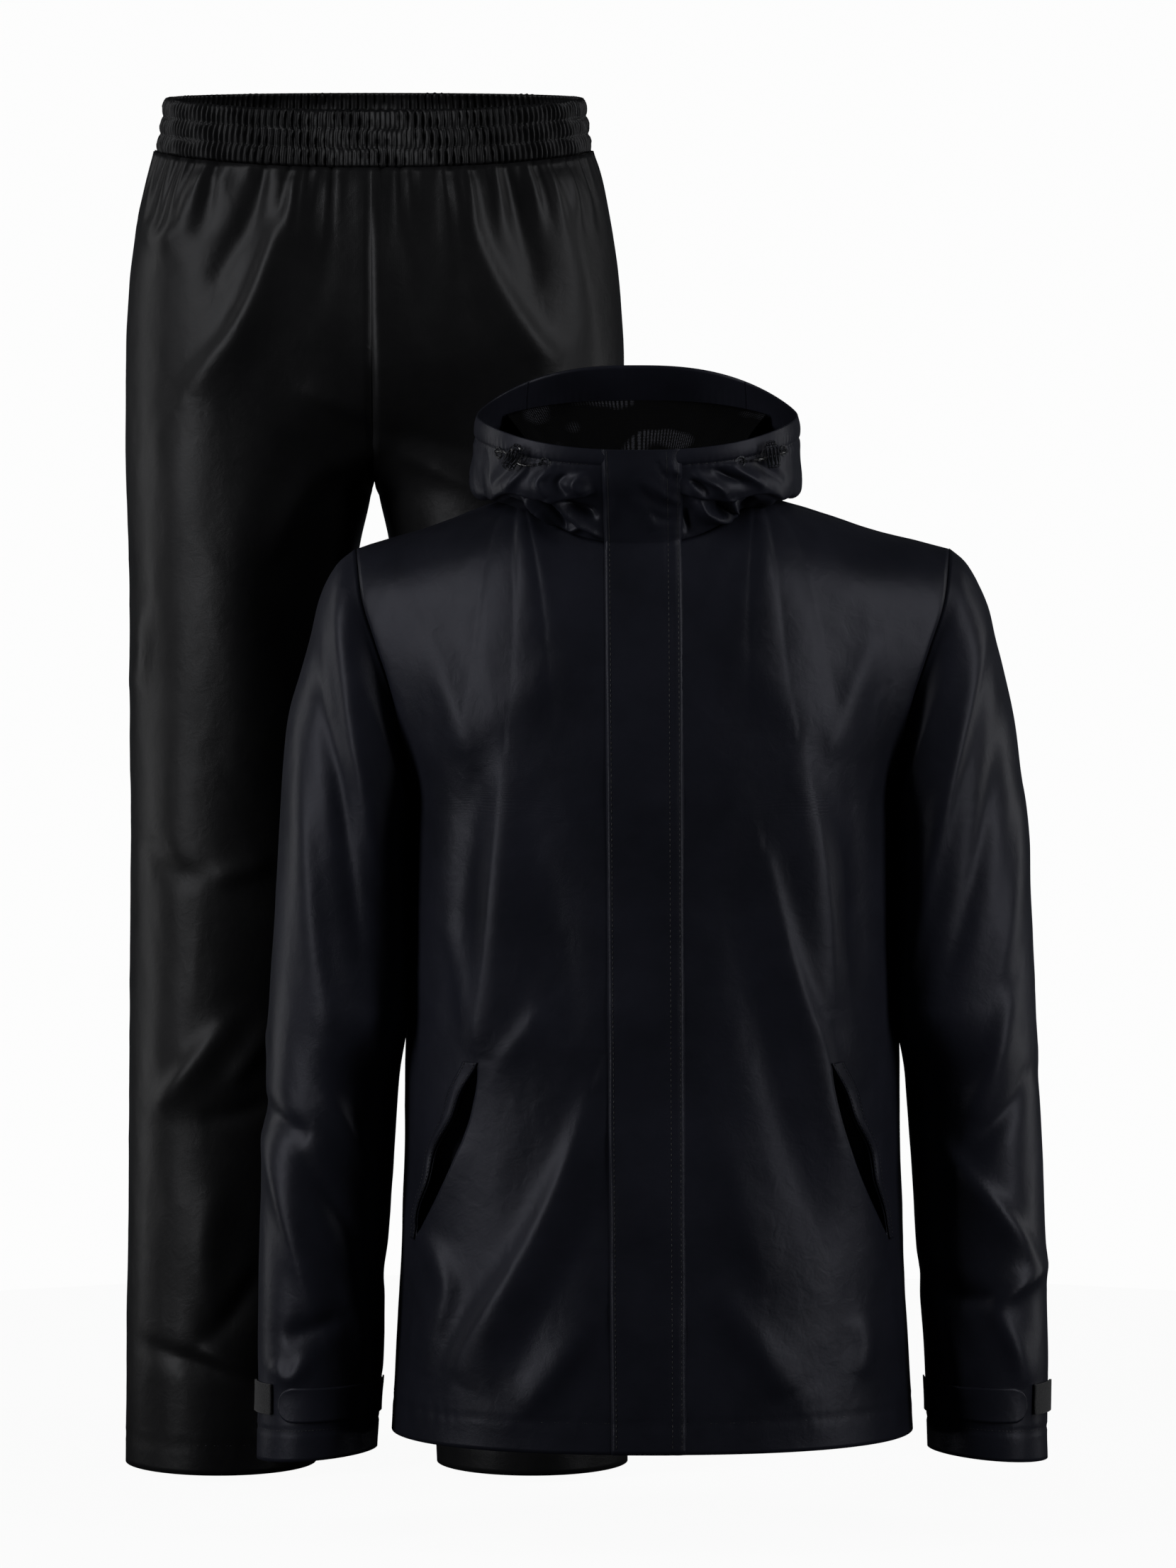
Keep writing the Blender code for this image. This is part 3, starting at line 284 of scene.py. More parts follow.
TROUSER_CREASES = creases("front", [
    # from the waistband and round the hips
    ([(-281, 284), (-280, 255), (-293, 226), (-313, 177), (-333, 145), (-364, 108)], 11.5, 8, .35),
    ([(-333, 286), (-359, 266), (-370, 238), (-388, 226), (-396, 242)], 8.5, 5.2),
    ([(-142, 280), (-139, 238), (-119, 191), (-90, 148), (-70, 128)], 10.5, 6, -.3),
    ([(-78, 284), (-67, 246), (-56, 200), (-44, 138)], 14, 5.8, -.2),
    ([(-65, 284), (-47, 243)], 7, 4),
    ([(-222, 284), (-219, 220), (-216, 140)], 11, 3.4),
    ([(-196, 284), (-186, 215), (-170, 150)], 11, -3.4),
    ([(-166, 284), (-158, 235), (-150, 180)], 8.5, 3.4),
    ([(-250, 284), (-252, 235), (-262, 170)], 9, -3.6),
    ([(-312, 284), (-318, 240), (-345, 190)], 8.5, -4),
    ([(-110, 284), (-100, 240), (-88, 190)], 8, -3.4),
    # from the crotch
    ([(-272, 112), (-245, 99), (-222, 86)], 7.5, 4.5, .2),
    ([(-206, 78), (-170, 65), (-128, 52)], 9, -4.5),
    ([(-200, 62), (-160, 46), (-110, 22)], 10, 4.8, .2),
    ([(-246, 46), (-228, 57), (-212, 66)], 7, 4),
    ([(-236, 60), (-270, 30), (-300, -20)], 10, 4.5, -.2),
    # the legs
    ([(-300, 80), (-318, -20), (-322, -130), (-318, -230)], 17, 4),
    ([(-270, -60), (-262, -160), (-268, -260)], 14, -3),
    ([(-140, 20), (-130, -90), (-132, -220)], 17, 4),
    ([(-345, -280), (-323, -272), (-300, -266)], 8, 4.2, .2),
    ([(-402, -250), (-380, -272), (-352, -280)], 9, -3.6),
    ([(-330, -390), (-360, -428), (-390, -464)], 10, 6.8, .2),
    ([(-355, -470), (-326, -467), (-300, -458)], 6.5, -4.2),
    ([(-334, -444), (-318, -423), (-302, -398)], 7, 4.2),
    ([(-290, -300), (-276, -380), (-280, -460)], 13, 3.4),
    ([(-356, -655), (-329, -626), (-305, -590)], 7.5, -4.4),
    ([(-356, -650), (-332, -668), (-307, -679)], 8, 5.5, .2),
    ([(-399, -656), (-354, -669), (-305, -680)], 6, -4.2),
    ([(-340, -520), (-352, -580), (-345, -630)], 11, 3.6),
    ([(-403, -70), (-402, -107), (-408, -136)], 6, 3.4),
    ([(-60, -230), (-100, -272), (-150, -286)], 9, 5.2, .2),
    ([(-46, -300), (-90, -320), (-140, -318)], 8, -4),
    ([(-60, -400), (-95, -450), (-140, -480)], 9, 4.5),
    ([(-60, -640), (-100, -668), (-150, -680)], 8, 5, .2),
]) + creases("back", [
    ([(-300, 280), (-315, 200), (-340, 120), (-350, 40)], 15, 7.5, .3),
    ([(-130, 280), (-120, 200), (-95, 120), (-85, 40)], 15, 7.5, -.3),
    ([(-250, 280), (-246, 200), (-236, 120)], 11, 4.5),
    ([(-185, 280), (-190, 200), (-200, 120)], 11, 4.5),
    ([(-225, 50), (-270, 20), (-330, 5)], 10, 6, .2),
    ([(-210, 50), (-165, 18), (-105, 4)], 10, 6, -.2),
    ([(-230, 20), (-290, -30), (-350, -60)], 11, -4.5),
    ([(-205, 20), (-150, -30), (-95, -60)], 11, -4.5),
    ([(-395, -245), (-350, -275), (-290, -290)], 10, 6.2, .2),
    ([(-385, -290), (-340, -312), (-280, -318)], 9, -4.5),
    ([(-50, -250), (-95, -280), (-155, -295)], 10, 6.2, .2),
    ([(-55, -300), (-100, -322), (-155, -328)], 9, -4.5),
    ([(-340, -380), (-350, -470), (-335, -560)], 15, 4.5),
    ([(-110, -380), (-100, -470), (-112, -560)], 15, 4.5),
    ([(-390, -640), (-340, -665), (-290, -672)], 8, 5),
    ([(-60, -640), (-105, -668), (-150, -676)], 8, 5),
])

# %% [markdown]
# ## Surfaces
#
# Every sewn piece is a surface of two numbers, u round the body and v up it. All of these
# work on whole arrays, so that a fine grid of any piece is laid out in one call.

# %% curves and sections


def smooth(stops, values, at):
    """The values at some places on a smooth curve through the stops, which rise."""
    stops, values = np.asarray(stops, float), np.asarray(values, float)
    at = np.clip(at, stops[0], stops[-1])
    slopes = np.gradient(values, stops)
    i = np.clip(np.searchsorted(stops, at, side="right") - 1, 0, len(stops) - 2)
    step = stops[i + 1] - stops[i]
    t = (at - stops[i]) / step
    start = (1 + 2 * t) * (1 - t) ** 2 * values[i] + t * (1 - t) ** 2 * step * slopes[i]
    end = t * t * (3 - 2 * t) * values[i + 1] + t * t * (t - 1) * step * slopes[i + 1]
    return start + end


def row_at(rows, at):
    """Rows between the rows of a table, found by its first column."""
    stops = [row[0] for row in rows]
    return type(rows[0])(*(smooth(stops, column, at) for column in zip(*rows)))


def ease(value, low, high):
    """From 0 below low to 1 above high, softly."""
    t = np.clip((value - low) / (high - low), 0.0, 1.0)
    return t * t * (3 - 2 * t)


def round_part(angle, power):
    """Sine and cosine on a rounded square: the power 2 is a circle."""
    across, forward = np.sin(angle), np.cos(angle)
    return (
        np.sign(across) * np.abs(across) ** (2 / power),
        np.sign(forward) * np.abs(forward) ** (2 / power),
    )


def points(x, y, z):
    return np.stack(np.broadcast_arrays(x, y, z), axis=-1).astype(float)


def neck_point(angle):
    """The neck seam. The angle is 0 at the front and turns towards +X."""
    across, forward = round_part(angle, HOOD_ROUNDNESS)
    depth = np.where(forward >= 0, NECK_FRONT, NECK_BACK)
    straight = np.cos(angle)
    end = np.where(straight >= 0, NECK_Z["front"], NECK_Z["back"])
    height = NECK_Z["side"] + (end - NECK_Z["side"]) * straight**2
    return points(HOOD_X + NECK_HALF * across, -depth * forward, height)


def armhole_point(side, angle):
    """The armhole seam. The angle is 0 at the shoulder and turns over the front."""
    top = SHOULDER[-1].height
    height = (top + UNDERARM_Z) / 2 + (top - UNDERARM_Z) / 2 * np.cos(angle)
    depth = np.where(np.sin(angle) >= 0, ARMHOLE_FRONT, ARMHOLE_BACK)
    out = row_at(ARMHOLE, height).out
    return points(JACKET_X + side * out, SLEEVE_Y - depth * np.sin(angle), height)


def top_edge(side, facing, s):
    """The neck seam from the middle of a panel, then its shoulder line."""
    turn = side * np.minimum(s / NECK_SHARE, 1) * math.pi / 2
    neck = neck_point(turn if facing > 0 else math.pi - turn)
    t = np.clip((s - NECK_SHARE) / (1 - NECK_SHARE), 0, 1)
    out = SHOULDER[0].out + (SHOULDER[-1].out - SHOULDER[0].out) * t
    start_x = HOOD_X + side * NECK_HALF
    end_x = JACKET_X + side * SHOULDER[-1].out
    shoulder = points(start_x + (end_x - start_x) * t, SLEEVE_Y * t, row_at(SHOULDER, out).height)
    return np.where((s <= NECK_SHARE)[..., None], neck, shoulder)


def body_section(side, facing, s, height):
    """A level section of the body below the underarm, s from its middle line to its side."""
    row = row_at(BODY, height)
    turn = s * math.pi / 2
    across, forward = round_part(side * turn if facing > 0 else math.pi - side * turn, ROUNDNESS)
    depth = np.where(forward >= 0, row.front, row.back)
    return points(JACKET_X + row.half_width * across, -depth * forward, height)


def upper_point(side, facing, s, t):
    """A panel above the underarm, which rounds over towards the shoulder line."""
    low = body_section(side, facing, s, UNDERARM_Z + 0 * s)
    spread = CORNER_SPREAD * (1 - t) ** 0.7 * ease(s, 0.05, 0.32) * (1 - ease(s, 0.60, 0.95))
    before, after = (top_edge(side, facing, s + way * spread) for way in (-1, 1))
    high = (before + 2 * top_edge(side, facing, s) + after) / 4
    over_shoulder = ease(s, 0.0, NECK_SHARE)
    round_off, round_up = round_part(t * math.pi / 2, SHOULDER_ROUNDNESS)
    back_in = t**2.2 * (1 - over_shoulder) + (1 - round_up) * over_shoulder
    rise = t * (1 - over_shoulder) + round_off * over_shoulder
    share = np.stack([t, back_in, rise], axis=-1)
    point = low + (high - low) * share
    point[..., 1] -= facing * CHEST_SWELL * np.sin(math.pi * t) ** 2 * (1 - over_shoulder)
    seam = armhole_point(side, facing * math.pi * (1 - t))
    tip = armhole_point(side, 0 * t)
    underarm = armhole_point(side, facing * math.pi + 0 * t)
    plain = underarm + (tip - underarm) * np.stack([t, 1 - round_up, round_off], axis=-1)
    return point + (seam - plain) * (s**2)[..., None]


def panel_point(side, facing, s, v):
    """A body panel, from its middle line (s 0) to its side (s 1), from the hem up."""
    low_share = 1 - YOKE_SHARE
    height = HEM_Z + (UNDERARM_Z - HEM_Z) * np.minimum(v / low_share, 1)
    lower = body_section(side, facing, s, height)
    upper = upper_point(side, facing, s, np.clip((v - low_share) / YOKE_SHARE, 0, 1))
    return np.where((v >= low_share)[..., None], upper, lower)


def sleeve_point(side, u, v):
    """The sleeve: u turns round it from its inner line, v goes up from cuff to armhole."""
    along = 1 - v
    row = row_at(SLEEVE, along)
    turn = math.pi - side * 2 * math.pi * u
    share = (1 + np.cos(turn)) / 2
    x = row.in_x + (row.out_x - row.in_x) * share
    z = row.in_z + (row.out_z - row.in_z) * share
    depth = np.where(np.sin(turn) >= 0, row.front, row.back)
    y = SLEEVE_Y - CUFF_FORWARD * ease(along, 0.2, 1.0) - depth * np.sin(turn)
    beside = ease(-row.in_z, 0.1935, 0.1990) * (1 - ease(-row.in_z, 0.350, 0.410)) * (1 - share) ** 2
    x, y = x - NESTLE_IN * beside, y - NESTLE_FORWARD * beside
    seam = armhole_point(side, turn)[..., 0]
    straight = SLEEVE[0].in_x + (SLEEVE[0].out_x - SLEEVE[0].in_x) * share
    bend = (seam - JACKET_X - side * straight) * (1 - ease(along, 0.0, 0.25))
    step = side * ARMHOLE_GAP * (1 - ease(along, 0.0, 0.05))
    return points(JACKET_X + side * x + bend + step, y, z)


def hood_point(angle, v):
    """The hood: the angle is 0 at the front and turns towards +X, v goes up to the rim."""
    row = row_at(HOOD, v)
    across, forward = round_part(angle, HOOD_ROUNDNESS)
    depth = np.where(forward >= 0, row.front, row.back)
    straight = np.cos(angle)
    end = np.where(straight >= 0, row.z_front, row.z_back)
    sag = BACK_SAG * ease(v, 0.0, 0.15) * (1 - ease(v, 0.36, 0.60))
    power = 2 - np.where(straight >= 0, 0.0, sag)
    height = row.z_side + (end - row.z_side) * np.abs(straight) ** power
    return points(HOOD_X + row.half_width * across, -depth * forward, height)


def trouser_point(side, facing, s, v):
    """A trouser panel, from its middle line (s 0) to its side seam (s 1), from the hem up."""
    top = BAND_BOTTOM["side"]
    height = TROUSER_HEM_Z + (top - TROUSER_HEM_Z) * v
    hip_row = row_at(TROUSER_HIPS, height)
    turn = s * math.pi / 2
    across, forward = round_part(turn, ROUNDNESS)
    depth = hip_row.front if facing > 0 else hip_row.back
    hips = points(side * hip_row.half_width * across, -facing * depth * forward, height)
    leg_row = row_at(LEG, height)
    middle, half = (leg_row.outer + leg_row.inner) / 2, (leg_row.outer - leg_row.inner) / 2
    turn = (1 - s) * math.pi
    depth = leg_row.front if facing > 0 else leg_row.back
    leg = points(side * (middle + half * np.cos(turn)), -facing * depth * np.sin(turn), height)
    t = np.clip((RISE_Z - height) / (RISE_Z - CROTCH_Z), 0.0, 1.0)
    sharp = 1 - ease(s, 0.0, CROTCH_REACH)
    gentle = 1 - ease(height, *LEG_STARTS)
    turned = ((1 - np.sqrt(1 - t * t)) * sharp + gentle * (1 - sharp))[..., None]
    point = hips * (1 - turned) + leg * turned
    dip = (BAND_BOTTOM["side"] - BAND_BOTTOM["front"]) if facing > 0 else 0.0
    point[..., 2] -= dip * np.cos(s * math.pi / 2) ** 2 * ease(height, 0.20, top)
    point[..., 0] += side * CROTCH_GAP * np.sqrt(turned[..., 0]) * (1 - s)
    return point + np.array([TROUSERS_X, TROUSERS_Y, 0.0])


# %% folds on a surface


def rounded_path(path, steps=6):
    """A given path with a smooth curve through its points."""
    path = np.array(path, float)
    if len(path) < 3:
        return path
    stops = np.arange(len(path))
    at = np.linspace(0, len(path) - 1, steps * (len(path) - 1) + 1)
    return np.stack([smooth(stops, path[:, k], at) for k in range(2)], axis=-1)


def crease_height(across, up, crease):
    """How far one crease lifts the cloth at these places."""
    path = rounded_path(crease.path)
    nearest = np.full(across.shape, 1e9)
    hand, share = np.zeros(across.shape), np.zeros(across.shape)
    for k in range(len(path) - 1):
        run = path[k + 1] - path[k]
        off_x, off_z = across - path[k][0], up - path[k][1]
        t = np.clip((off_x * run[0] + off_z * run[1]) / (run @ run), 0, 1)
        gap = np.hypot(off_x - run[0] * t, off_z - run[1] * t)
        closer = gap < nearest
        nearest = np.where(closer, gap, nearest)
        hand = np.where(closer, np.sign(run[0] * off_z - run[1] * off_x), hand)
        share = np.where(closer, (k + t) / (len(path) - 1), share)
    width = crease.width * (1 + crease.lean * hand)
    soft = np.sqrt((nearest / width) ** 2 + 0.06) - math.sqrt(0.06)
    fade = np.sqrt(np.sin(math.pi * np.clip(0.02 + 0.96 * share, 0, 1)))
    return crease.height * np.exp(-(soft**1.45)) * fade


def crumple(place, size, seed, stretch=(1.0, 1.0, 0.55)):
    """The small unevenness of cloth, from -1 to 1: soft swells with a few sharper edges."""
    scaled = place / size * np.array(stretch) + seed * 7.31
    flat = scaled.reshape(-1, 3)
    out = np.empty(len(flat))
    for i, at in enumerate(flat):
        out[i] = noise.noise(at) + 0.5 * (0.5 - abs(noise.noise(at * 1.9)))
    return out.reshape(place.shape[:-1])


def normals(surface, u, v, step=0.003):
    """Which way a surface faces. Its u turns counter-clockwise from above and its v goes up."""
    along = surface(np.minimum(u + step, 1), v) - surface(np.maximum(u - step, 0), v)
    upward = surface(u, np.minimum(v + step, 1)) - surface(u, np.maximum(v - step, 0))
    out = np.cross(along, upward)
    return out / np.maximum(np.linalg.norm(out, axis=-1, keepdims=True), 1e-12)


CALM = 0.15  # the share of its folds that a piece keeps at its lower and upper edge
CALM_UNTIL, CALM_FROM = 0.036, 0.985  # as shares of the way up
TURN_OVER = 0.012  # the front's creases give way to the back's this far from the middle
CRUMPLE_SIZE = 0.045


def creased(surface, folds, middle_y, seed, rough=0.0011, extra=None):
    """The surface with its creases and its small unevenness, calm at its lower and upper edge."""

    def folded(u, v, out=0.0):
        u, v = np.broadcast_arrays(np.asarray(u, float), np.asarray(v, float))
        place, facing = surface(u, v), normals(surface, u, v)
        front = 1 - ease(place[..., 1], middle_y - TURN_OVER, middle_y + TURN_OVER)
        height = rough * crumple(place, CRUMPLE_SIZE, seed)
        for crease in folds:
            share = front if crease.side == "front" else 1 - front
            height = height + crease_height(place[..., 0], place[..., 2], crease) * share
        for free in (ease(v, 0.0, CALM_UNTIL), 1 - ease(v, CALM_FROM, 1.0)):
            height = height * (CALM + (1 - CALM) * free)
        if extra is not None:
            height = height + extra(place, u, v)
        return place + facing * (height + out)[..., None]

    return folded


# %% [markdown]
# ## Cloth pieces
#
# `cloth` lays a grid on a surface and gives it the cloth's thickness. A piece may be laid in
# several patches whose edges meet, such as the two halves of a front beside the slit of its
# pocket.


def settle(name, mesh, material, slot, replaces=()):
    """A finished object from its mesh: smooth, with its material, riding on the one body."""
    mesh.shade_smooth()
    mesh.materials.append(material)
    obj = bpy.data.objects.new(name, mesh)
    bpy.context.scene.collection.objects.link(obj)
    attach(obj, "root")
    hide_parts(*replaces)
    return obj


Patch = namedtuple("Patch", "surface columns rows size")


def cloth(name, node, patches, finish, thickness=CLOTH, closed=False):
    """A sewn piece, which stands for a node. A patch's size is what its u and v measure in metres."""
    built = bmesh.new()
    uv = built.loops.layers.uv.new("cloth")
    for patch in patches:
        old = set(built.verts)
        bmesh.ops.create_grid(built, x_segments=patch.columns, y_segments=patch.rows, size=0.5)
        verts = [vert for vert in built.verts if vert not in old]
        flat = np.array([(vert.co.x + 0.5, vert.co.y + 0.5) for vert in verts])
        placed = patch.surface(flat[:, 0], flat[:, 1])
        where = dict(zip(verts, flat))
        for face in built.faces:
            if face.verts[0] in where:
                for loop in face.loops:
                    loop[uv].uv = where[loop.vert] * patch.size
        for vert, place in zip(verts, placed):
            vert.co = place
    if closed or len(patches) > 1:
        bmesh.ops.remove_doubles(built, verts=built.verts, dist=0.00003)
    mesh = bpy.data.meshes.new(name)
    built.to_mesh(mesh)
    built.free()
    obj = settle(name, mesh, *finish, [node])
    solidify = obj.modifiers.new("thickness", "SOLIDIFY")
    solidify.thickness = thickness
    solidify.offset = -1
    print(f"{name}: {len(mesh.polygons)} quads")


# %% [markdown]
# ## Materials
#
# Each one is built from nodes. Scales are real: the weave of the shell cloth has about 30
# threads to the centimetre, and the mesh lining has a hole every 2.2 mm.

# %% materials


def linear(hex_colour):
    """An sRGB colour such as '#1a1b1f' as linear values."""
    parts = [int(hex_colour[i:i + 2], 16) / 255 for i in (1, 3, 5)]
    return [c / 12.92 if c <= 0.04045 else ((c + 0.055) / 1.055) ** 2.4 for c in parts] + [1.0]


def add(tree, kind, links=(), **settings):
    """Adds a node. Settings are its properties or, with a capital, its inputs' values."""
    node = tree.nodes.new(kind)
    for key, value in settings.items():
        if key[0].isupper():
            node.inputs[key.replace("_", " ")].default_value = value
        else:
            setattr(node, key, value)
    for target, source in links:
        tree.links.new(source, node.inputs[target])
    return node


def ramp(tree, amount, low, dark, high, light):
    """A colour from a dark one, where the amount is low, to a light one."""
    node = add(tree, "ShaderNodeValToRGB", [("Fac", amount)])
    for element, position, colour in zip(node.color_ramp.elements, (low, high), (dark, light)):
        element.position = position
        element.color = linear(colour)
    return node.outputs["Color"]


def give(shader, **values):
    """Sets the inputs of a shader."""
    for key, value in values.items():
        shader.inputs[key.replace("_", " ")].default_value = value


def new_material(name):
    material = bpy.data.materials.new(name)
    material.use_nodes = True
    tree = material.node_tree
    return material, tree, tree.nodes["Principled BSDF"]


def coated_cloth(name, deep, light, roughness, tint, scale):
    """Plain-woven polyester with a satin polyurethane coating."""
    material, tree, shader = new_material(name)
    coords = add(tree, "ShaderNodeTexCoord")
    spot = coords.outputs["Object"]
    # broad, faint differences of tone, as where the coating is handled or creased
    broad = add(tree, "ShaderNodeTexNoise", [("Vector", spot)], Scale=scale, Detail=4.0, Roughness=0.6)
    tone = ramp(tree, broad.outputs["Fac"], 0.32, deep, 0.72, light)
    tree.links.new(tone, shader.inputs["Base Color"])
    # the gloss wanders a little with the same creases
    gloss = add(tree, "ShaderNodeMapRange", [("Value", broad.outputs["Fac"])],
                From_Min=0.3, From_Max=0.7, To_Min=roughness - 0.045, To_Max=roughness + 0.05)
    tree.links.new(gloss.outputs["Result"], shader.inputs["Roughness"])
    # fine crumple of the coating, about 12 mm and 3 mm across
    crumples = add(tree, "ShaderNodeTexNoise", [("Vector", spot)], Scale=80.0, Detail=5.0,
                   Roughness=0.55, Distortion=0.6)
    first = add(tree, "ShaderNodeBump", [("Height", crumples.outputs["Fac"])], Strength=0.30,
                Distance=0.0012)
    # the weave: one thread every 0.33 mm, both ways
    weave_uv = coords.outputs["UV"]
    warp = add(tree, "ShaderNodeTexWave", [("Vector", weave_uv)], Scale=480.0, bands_direction="X")
    weft = add(tree, "ShaderNodeTexWave", [("Vector", weave_uv)], Scale=480.0, bands_direction="Y")
    threads = add(tree, "ShaderNodeMath", [(0, warp.outputs["Fac"]), (1, weft.outputs["Fac"])],
                  operation="MULTIPLY")
    second = add(tree, "ShaderNodeBump", [("Height", threads.outputs["Value"]),
                 ("Normal", first.outputs["Normal"])], Strength=0.25, Distance=0.0001)
    tree.links.new(second.outputs["Normal"], shader.inputs["Normal"])
    give(shader, Specular_IOR_Level=0.14, Specular_Tint=tint)
    return material


JACKET = (coated_cloth("satin_coated_polyester_ink", "#15161c", "#1c1d25", 0.37,
                       (0.86, 0.87, 1.0, 1), 10.0), "jacket_cloth")
TROUSER = (coated_cloth("satin_coated_polyester_black", "#111112", "#171718", 0.38,
                        (0.95, 0.96, 1.0, 1), 12.0), "trouser_cloth")


def mesh_cloth():
    """Knitted polyester mesh, with a round hole every 2.2 mm."""
    material, tree, shader = new_material("polyester_mesh_lining")
    coords = add(tree, "ShaderNodeTexCoord")
    holes = add(tree, "ShaderNodeTexVoronoi", [("Vector", coords.outputs["UV"])], Scale=450.0,
                Randomness=0.10)
    # painted light: the middle of each hole is pale grey, standing for light seen through it
    rim = ramp(tree, holes.outputs["Distance"], 0.24, "#45464c", 0.36, "#050506")
    # painted light: the pale holes show only in random patches, which stand for where the mesh catches the
    # light; elsewhere the holes are as dark as the mesh
    lit_patch_noise = add(tree, "ShaderNodeTexNoise", [("Vector", coords.outputs["Object"])], Scale=22.0,
                   Detail=1.0)
    where = add(tree, "ShaderNodeMapRange", [("Value", lit_patch_noise.outputs["Fac"])], From_Min=0.57,
                From_Max=0.63)
    seen = add(tree, "ShaderNodeMix", data_type="RGBA")
    tree.links.new(where.outputs["Result"], seen.inputs["Factor"])
    tree.links.new(rim, seen.inputs["B"])
    seen.inputs["A"].default_value = linear("#050506")
    tree.links.new(seen.outputs["Result"], shader.inputs["Base Color"])
    bump = add(tree, "ShaderNodeBump", [("Height", holes.outputs["Distance"])], Strength=0.7,
               Distance=0.0008)
    tree.links.new(bump.outputs["Normal"], shader.inputs["Normal"])
    give(shader, Roughness=0.75, Specular_IOR_Level=0.08)
    return material


def loop_tape():
    """Nylon loop tape: a mat of tiny loops, dull and a little fuzzy."""
    material, tree, shader = new_material("nylon_loop_tape")
    coords = add(tree, "ShaderNodeTexCoord")
    loops = add(tree, "ShaderNodeTexNoise", [("Vector", coords.outputs["Object"])], Scale=900.0, Detail=3.0)
    tone = ramp(tree, loops.outputs["Fac"], 0.35, "#08080a", 0.70, "#1c1d20")
    tree.links.new(tone, shader.inputs["Base Color"])
    bump = add(tree, "ShaderNodeBump", [("Height", loops.outputs["Fac"])], Strength=0.9, Distance=0.0010)
    tree.links.new(bump.outputs["Normal"], shader.inputs["Normal"])
    give(shader, Roughness=0.92, Sheen_Weight=0.10)
    return material


def plain_detail(name, dark, light, roughness, metallic, scale, depth):
    """A hard or spun surface with a fine unevenness of its own."""
    material, tree, shader = new_material(name)
    coords = add(tree, "ShaderNodeTexCoord")
    grain = add(tree, "ShaderNodeTexNoise", [("Vector", coords.outputs["Object"])], Scale=scale, Detail=4.0)
    tone = ramp(tree, grain.outputs["Fac"], 0.35, dark, 0.70, light)
    tree.links.new(tone, shader.inputs["Base Color"])
    worn = add(tree, "ShaderNodeMapRange", [("Value", grain.outputs["Fac"])], From_Min=0.3, From_Max=0.7,
               To_Min=roughness - 0.06, To_Max=roughness + 0.08)
    tree.links.new(worn.outputs["Result"], shader.inputs["Roughness"])
    bump = add(tree, "ShaderNodeBump", [("Height", grain.outputs["Fac"])], Strength=0.4, Distance=depth)
    tree.links.new(bump.outputs["Normal"], shader.inputs["Normal"])
    give(shader, Metallic=metallic)
    return material


MESH_CLOTH = mesh_cloth()
LOOP_TAPE = loop_tape()
GLOSS_PLASTIC = plain_detail("moulded_acetal", "#0b0b0d", "#151619", 0.13, 0.0, 300.0, 0.00003)
DULL_STEEL = plain_detail("gunmetal_brass", "#1b1c1f", "#26282c", 0.38, 0.8, 500.0, 0.00005)
CORD = plain_detail("braided_polyester_cord", "#08080a", "#121316", 0.24, 0.0, 900.0, 0.00008)
THREAD = plain_detail("polyester_thread", "#0c0d10", "#16171b", 0.5, 0.0, 2500.0, 0.00005)

# %% [markdown]
# ## The jacket's body
#
# Two fronts and a back, joined at the shoulder and side seams. The hem is turned up 22 mm
# and stitched, which draws it into small puckers, and the pocket mouths are slits whose
# edges stand a little open.

# %% the jacket's body
HEM_STITCH = 0.024  # from the hem up to its row of stitches
GROOVE_DEPTH, GROOVE_WIDTH = 0.0007, 0.0016
PUCKER, PUCKER_PITCH, PUCKER_REACH = 0.00035, 0.006, 0.009
POCKET_TOP = (-0.388, 42.0)  # height, and degrees round the body from the front
POCKET_BOTTOM = (-0.522, 66.0)
MOUTH_OUT = 0.0070  # how far the mouth opens towards the side seam
MOUTH_IN = 0.0165  # and towards the flap
BODY_RADIUS = 0.165  # of the body's curve at the pockets and cuffs of the fronts
BODY_HEIGHT = UNDERARM_Z - HEM_Z


def stitched_line(distance, along, pucker=PUCKER):
    """How a row of stitches draws the cloth in: a groove, with small puckers beside it."""
    groove = GROOVE_DEPTH * np.exp(-((distance / GROOVE_WIDTH) ** 2))
    turn = along / PUCKER_PITCH
    waves = np.sin(turn * 2 * math.pi) * (0.6 + 0.4 * np.sin(turn * 0.37 + 1.0))
    return pucker * waves * np.exp(-((distance / PUCKER_REACH) ** 2)) - groove


def body_details(place, _u, _v):
    return stitched_line(place[..., 2] - HEM_Z - HEM_STITCH, place[..., 0] + 0.3 * place[..., 1])


def front_plain(side):
    def surface(u, v):
        return panel_point(side, 1, u if side > 0 else 1 - u, v)
    return surface


def back_surface(u, v):
    u, v = np.broadcast_arrays(np.asarray(u, float), np.asarray(v, float))
    left = panel_point(1, -1, np.clip(1 - 2 * u, 0, 1), v)
    right = panel_point(-1, -1, np.clip(2 * u - 1, 0, 1), v)
    return np.where((u < 0.5)[..., None], left, right)


FRONTS = {side: creased(front_plain(side), BODY_CREASES, 0.0, 4, extra=body_details)
          for side in (1, -1)}
BACK = creased(back_surface, BODY_CREASES, 0.0, 4, extra=body_details)


def slit_share(v):
    """How far round the front panel the pocket's slit, or the line through it, lies."""
    low_share = 1 - YOKE_SHARE
    height = HEM_Z + BODY_HEIGHT * v / low_share
    t = np.clip((height - POCKET_BOTTOM[0]) / (POCKET_TOP[0] - POCKET_BOTTOM[0]), 0, 1)
    return (POCKET_BOTTOM[1] + (POCKET_TOP[1] - POCKET_BOTTOM[1]) * t) / 90.0, t


def mouth(t, outer):
    """How far, in metres, one edge of the pocket's mouth stands off its line. t goes up it."""
    t = np.clip(t, 0, 1)
    if outer:
        return MOUTH_OUT * np.sin(math.pi * t) ** 0.8 * (1 + 0.45 * np.sin(5.0 * math.pi * t))
    return MOUTH_IN * np.sin(math.pi * t ** 0.85) ** 0.75


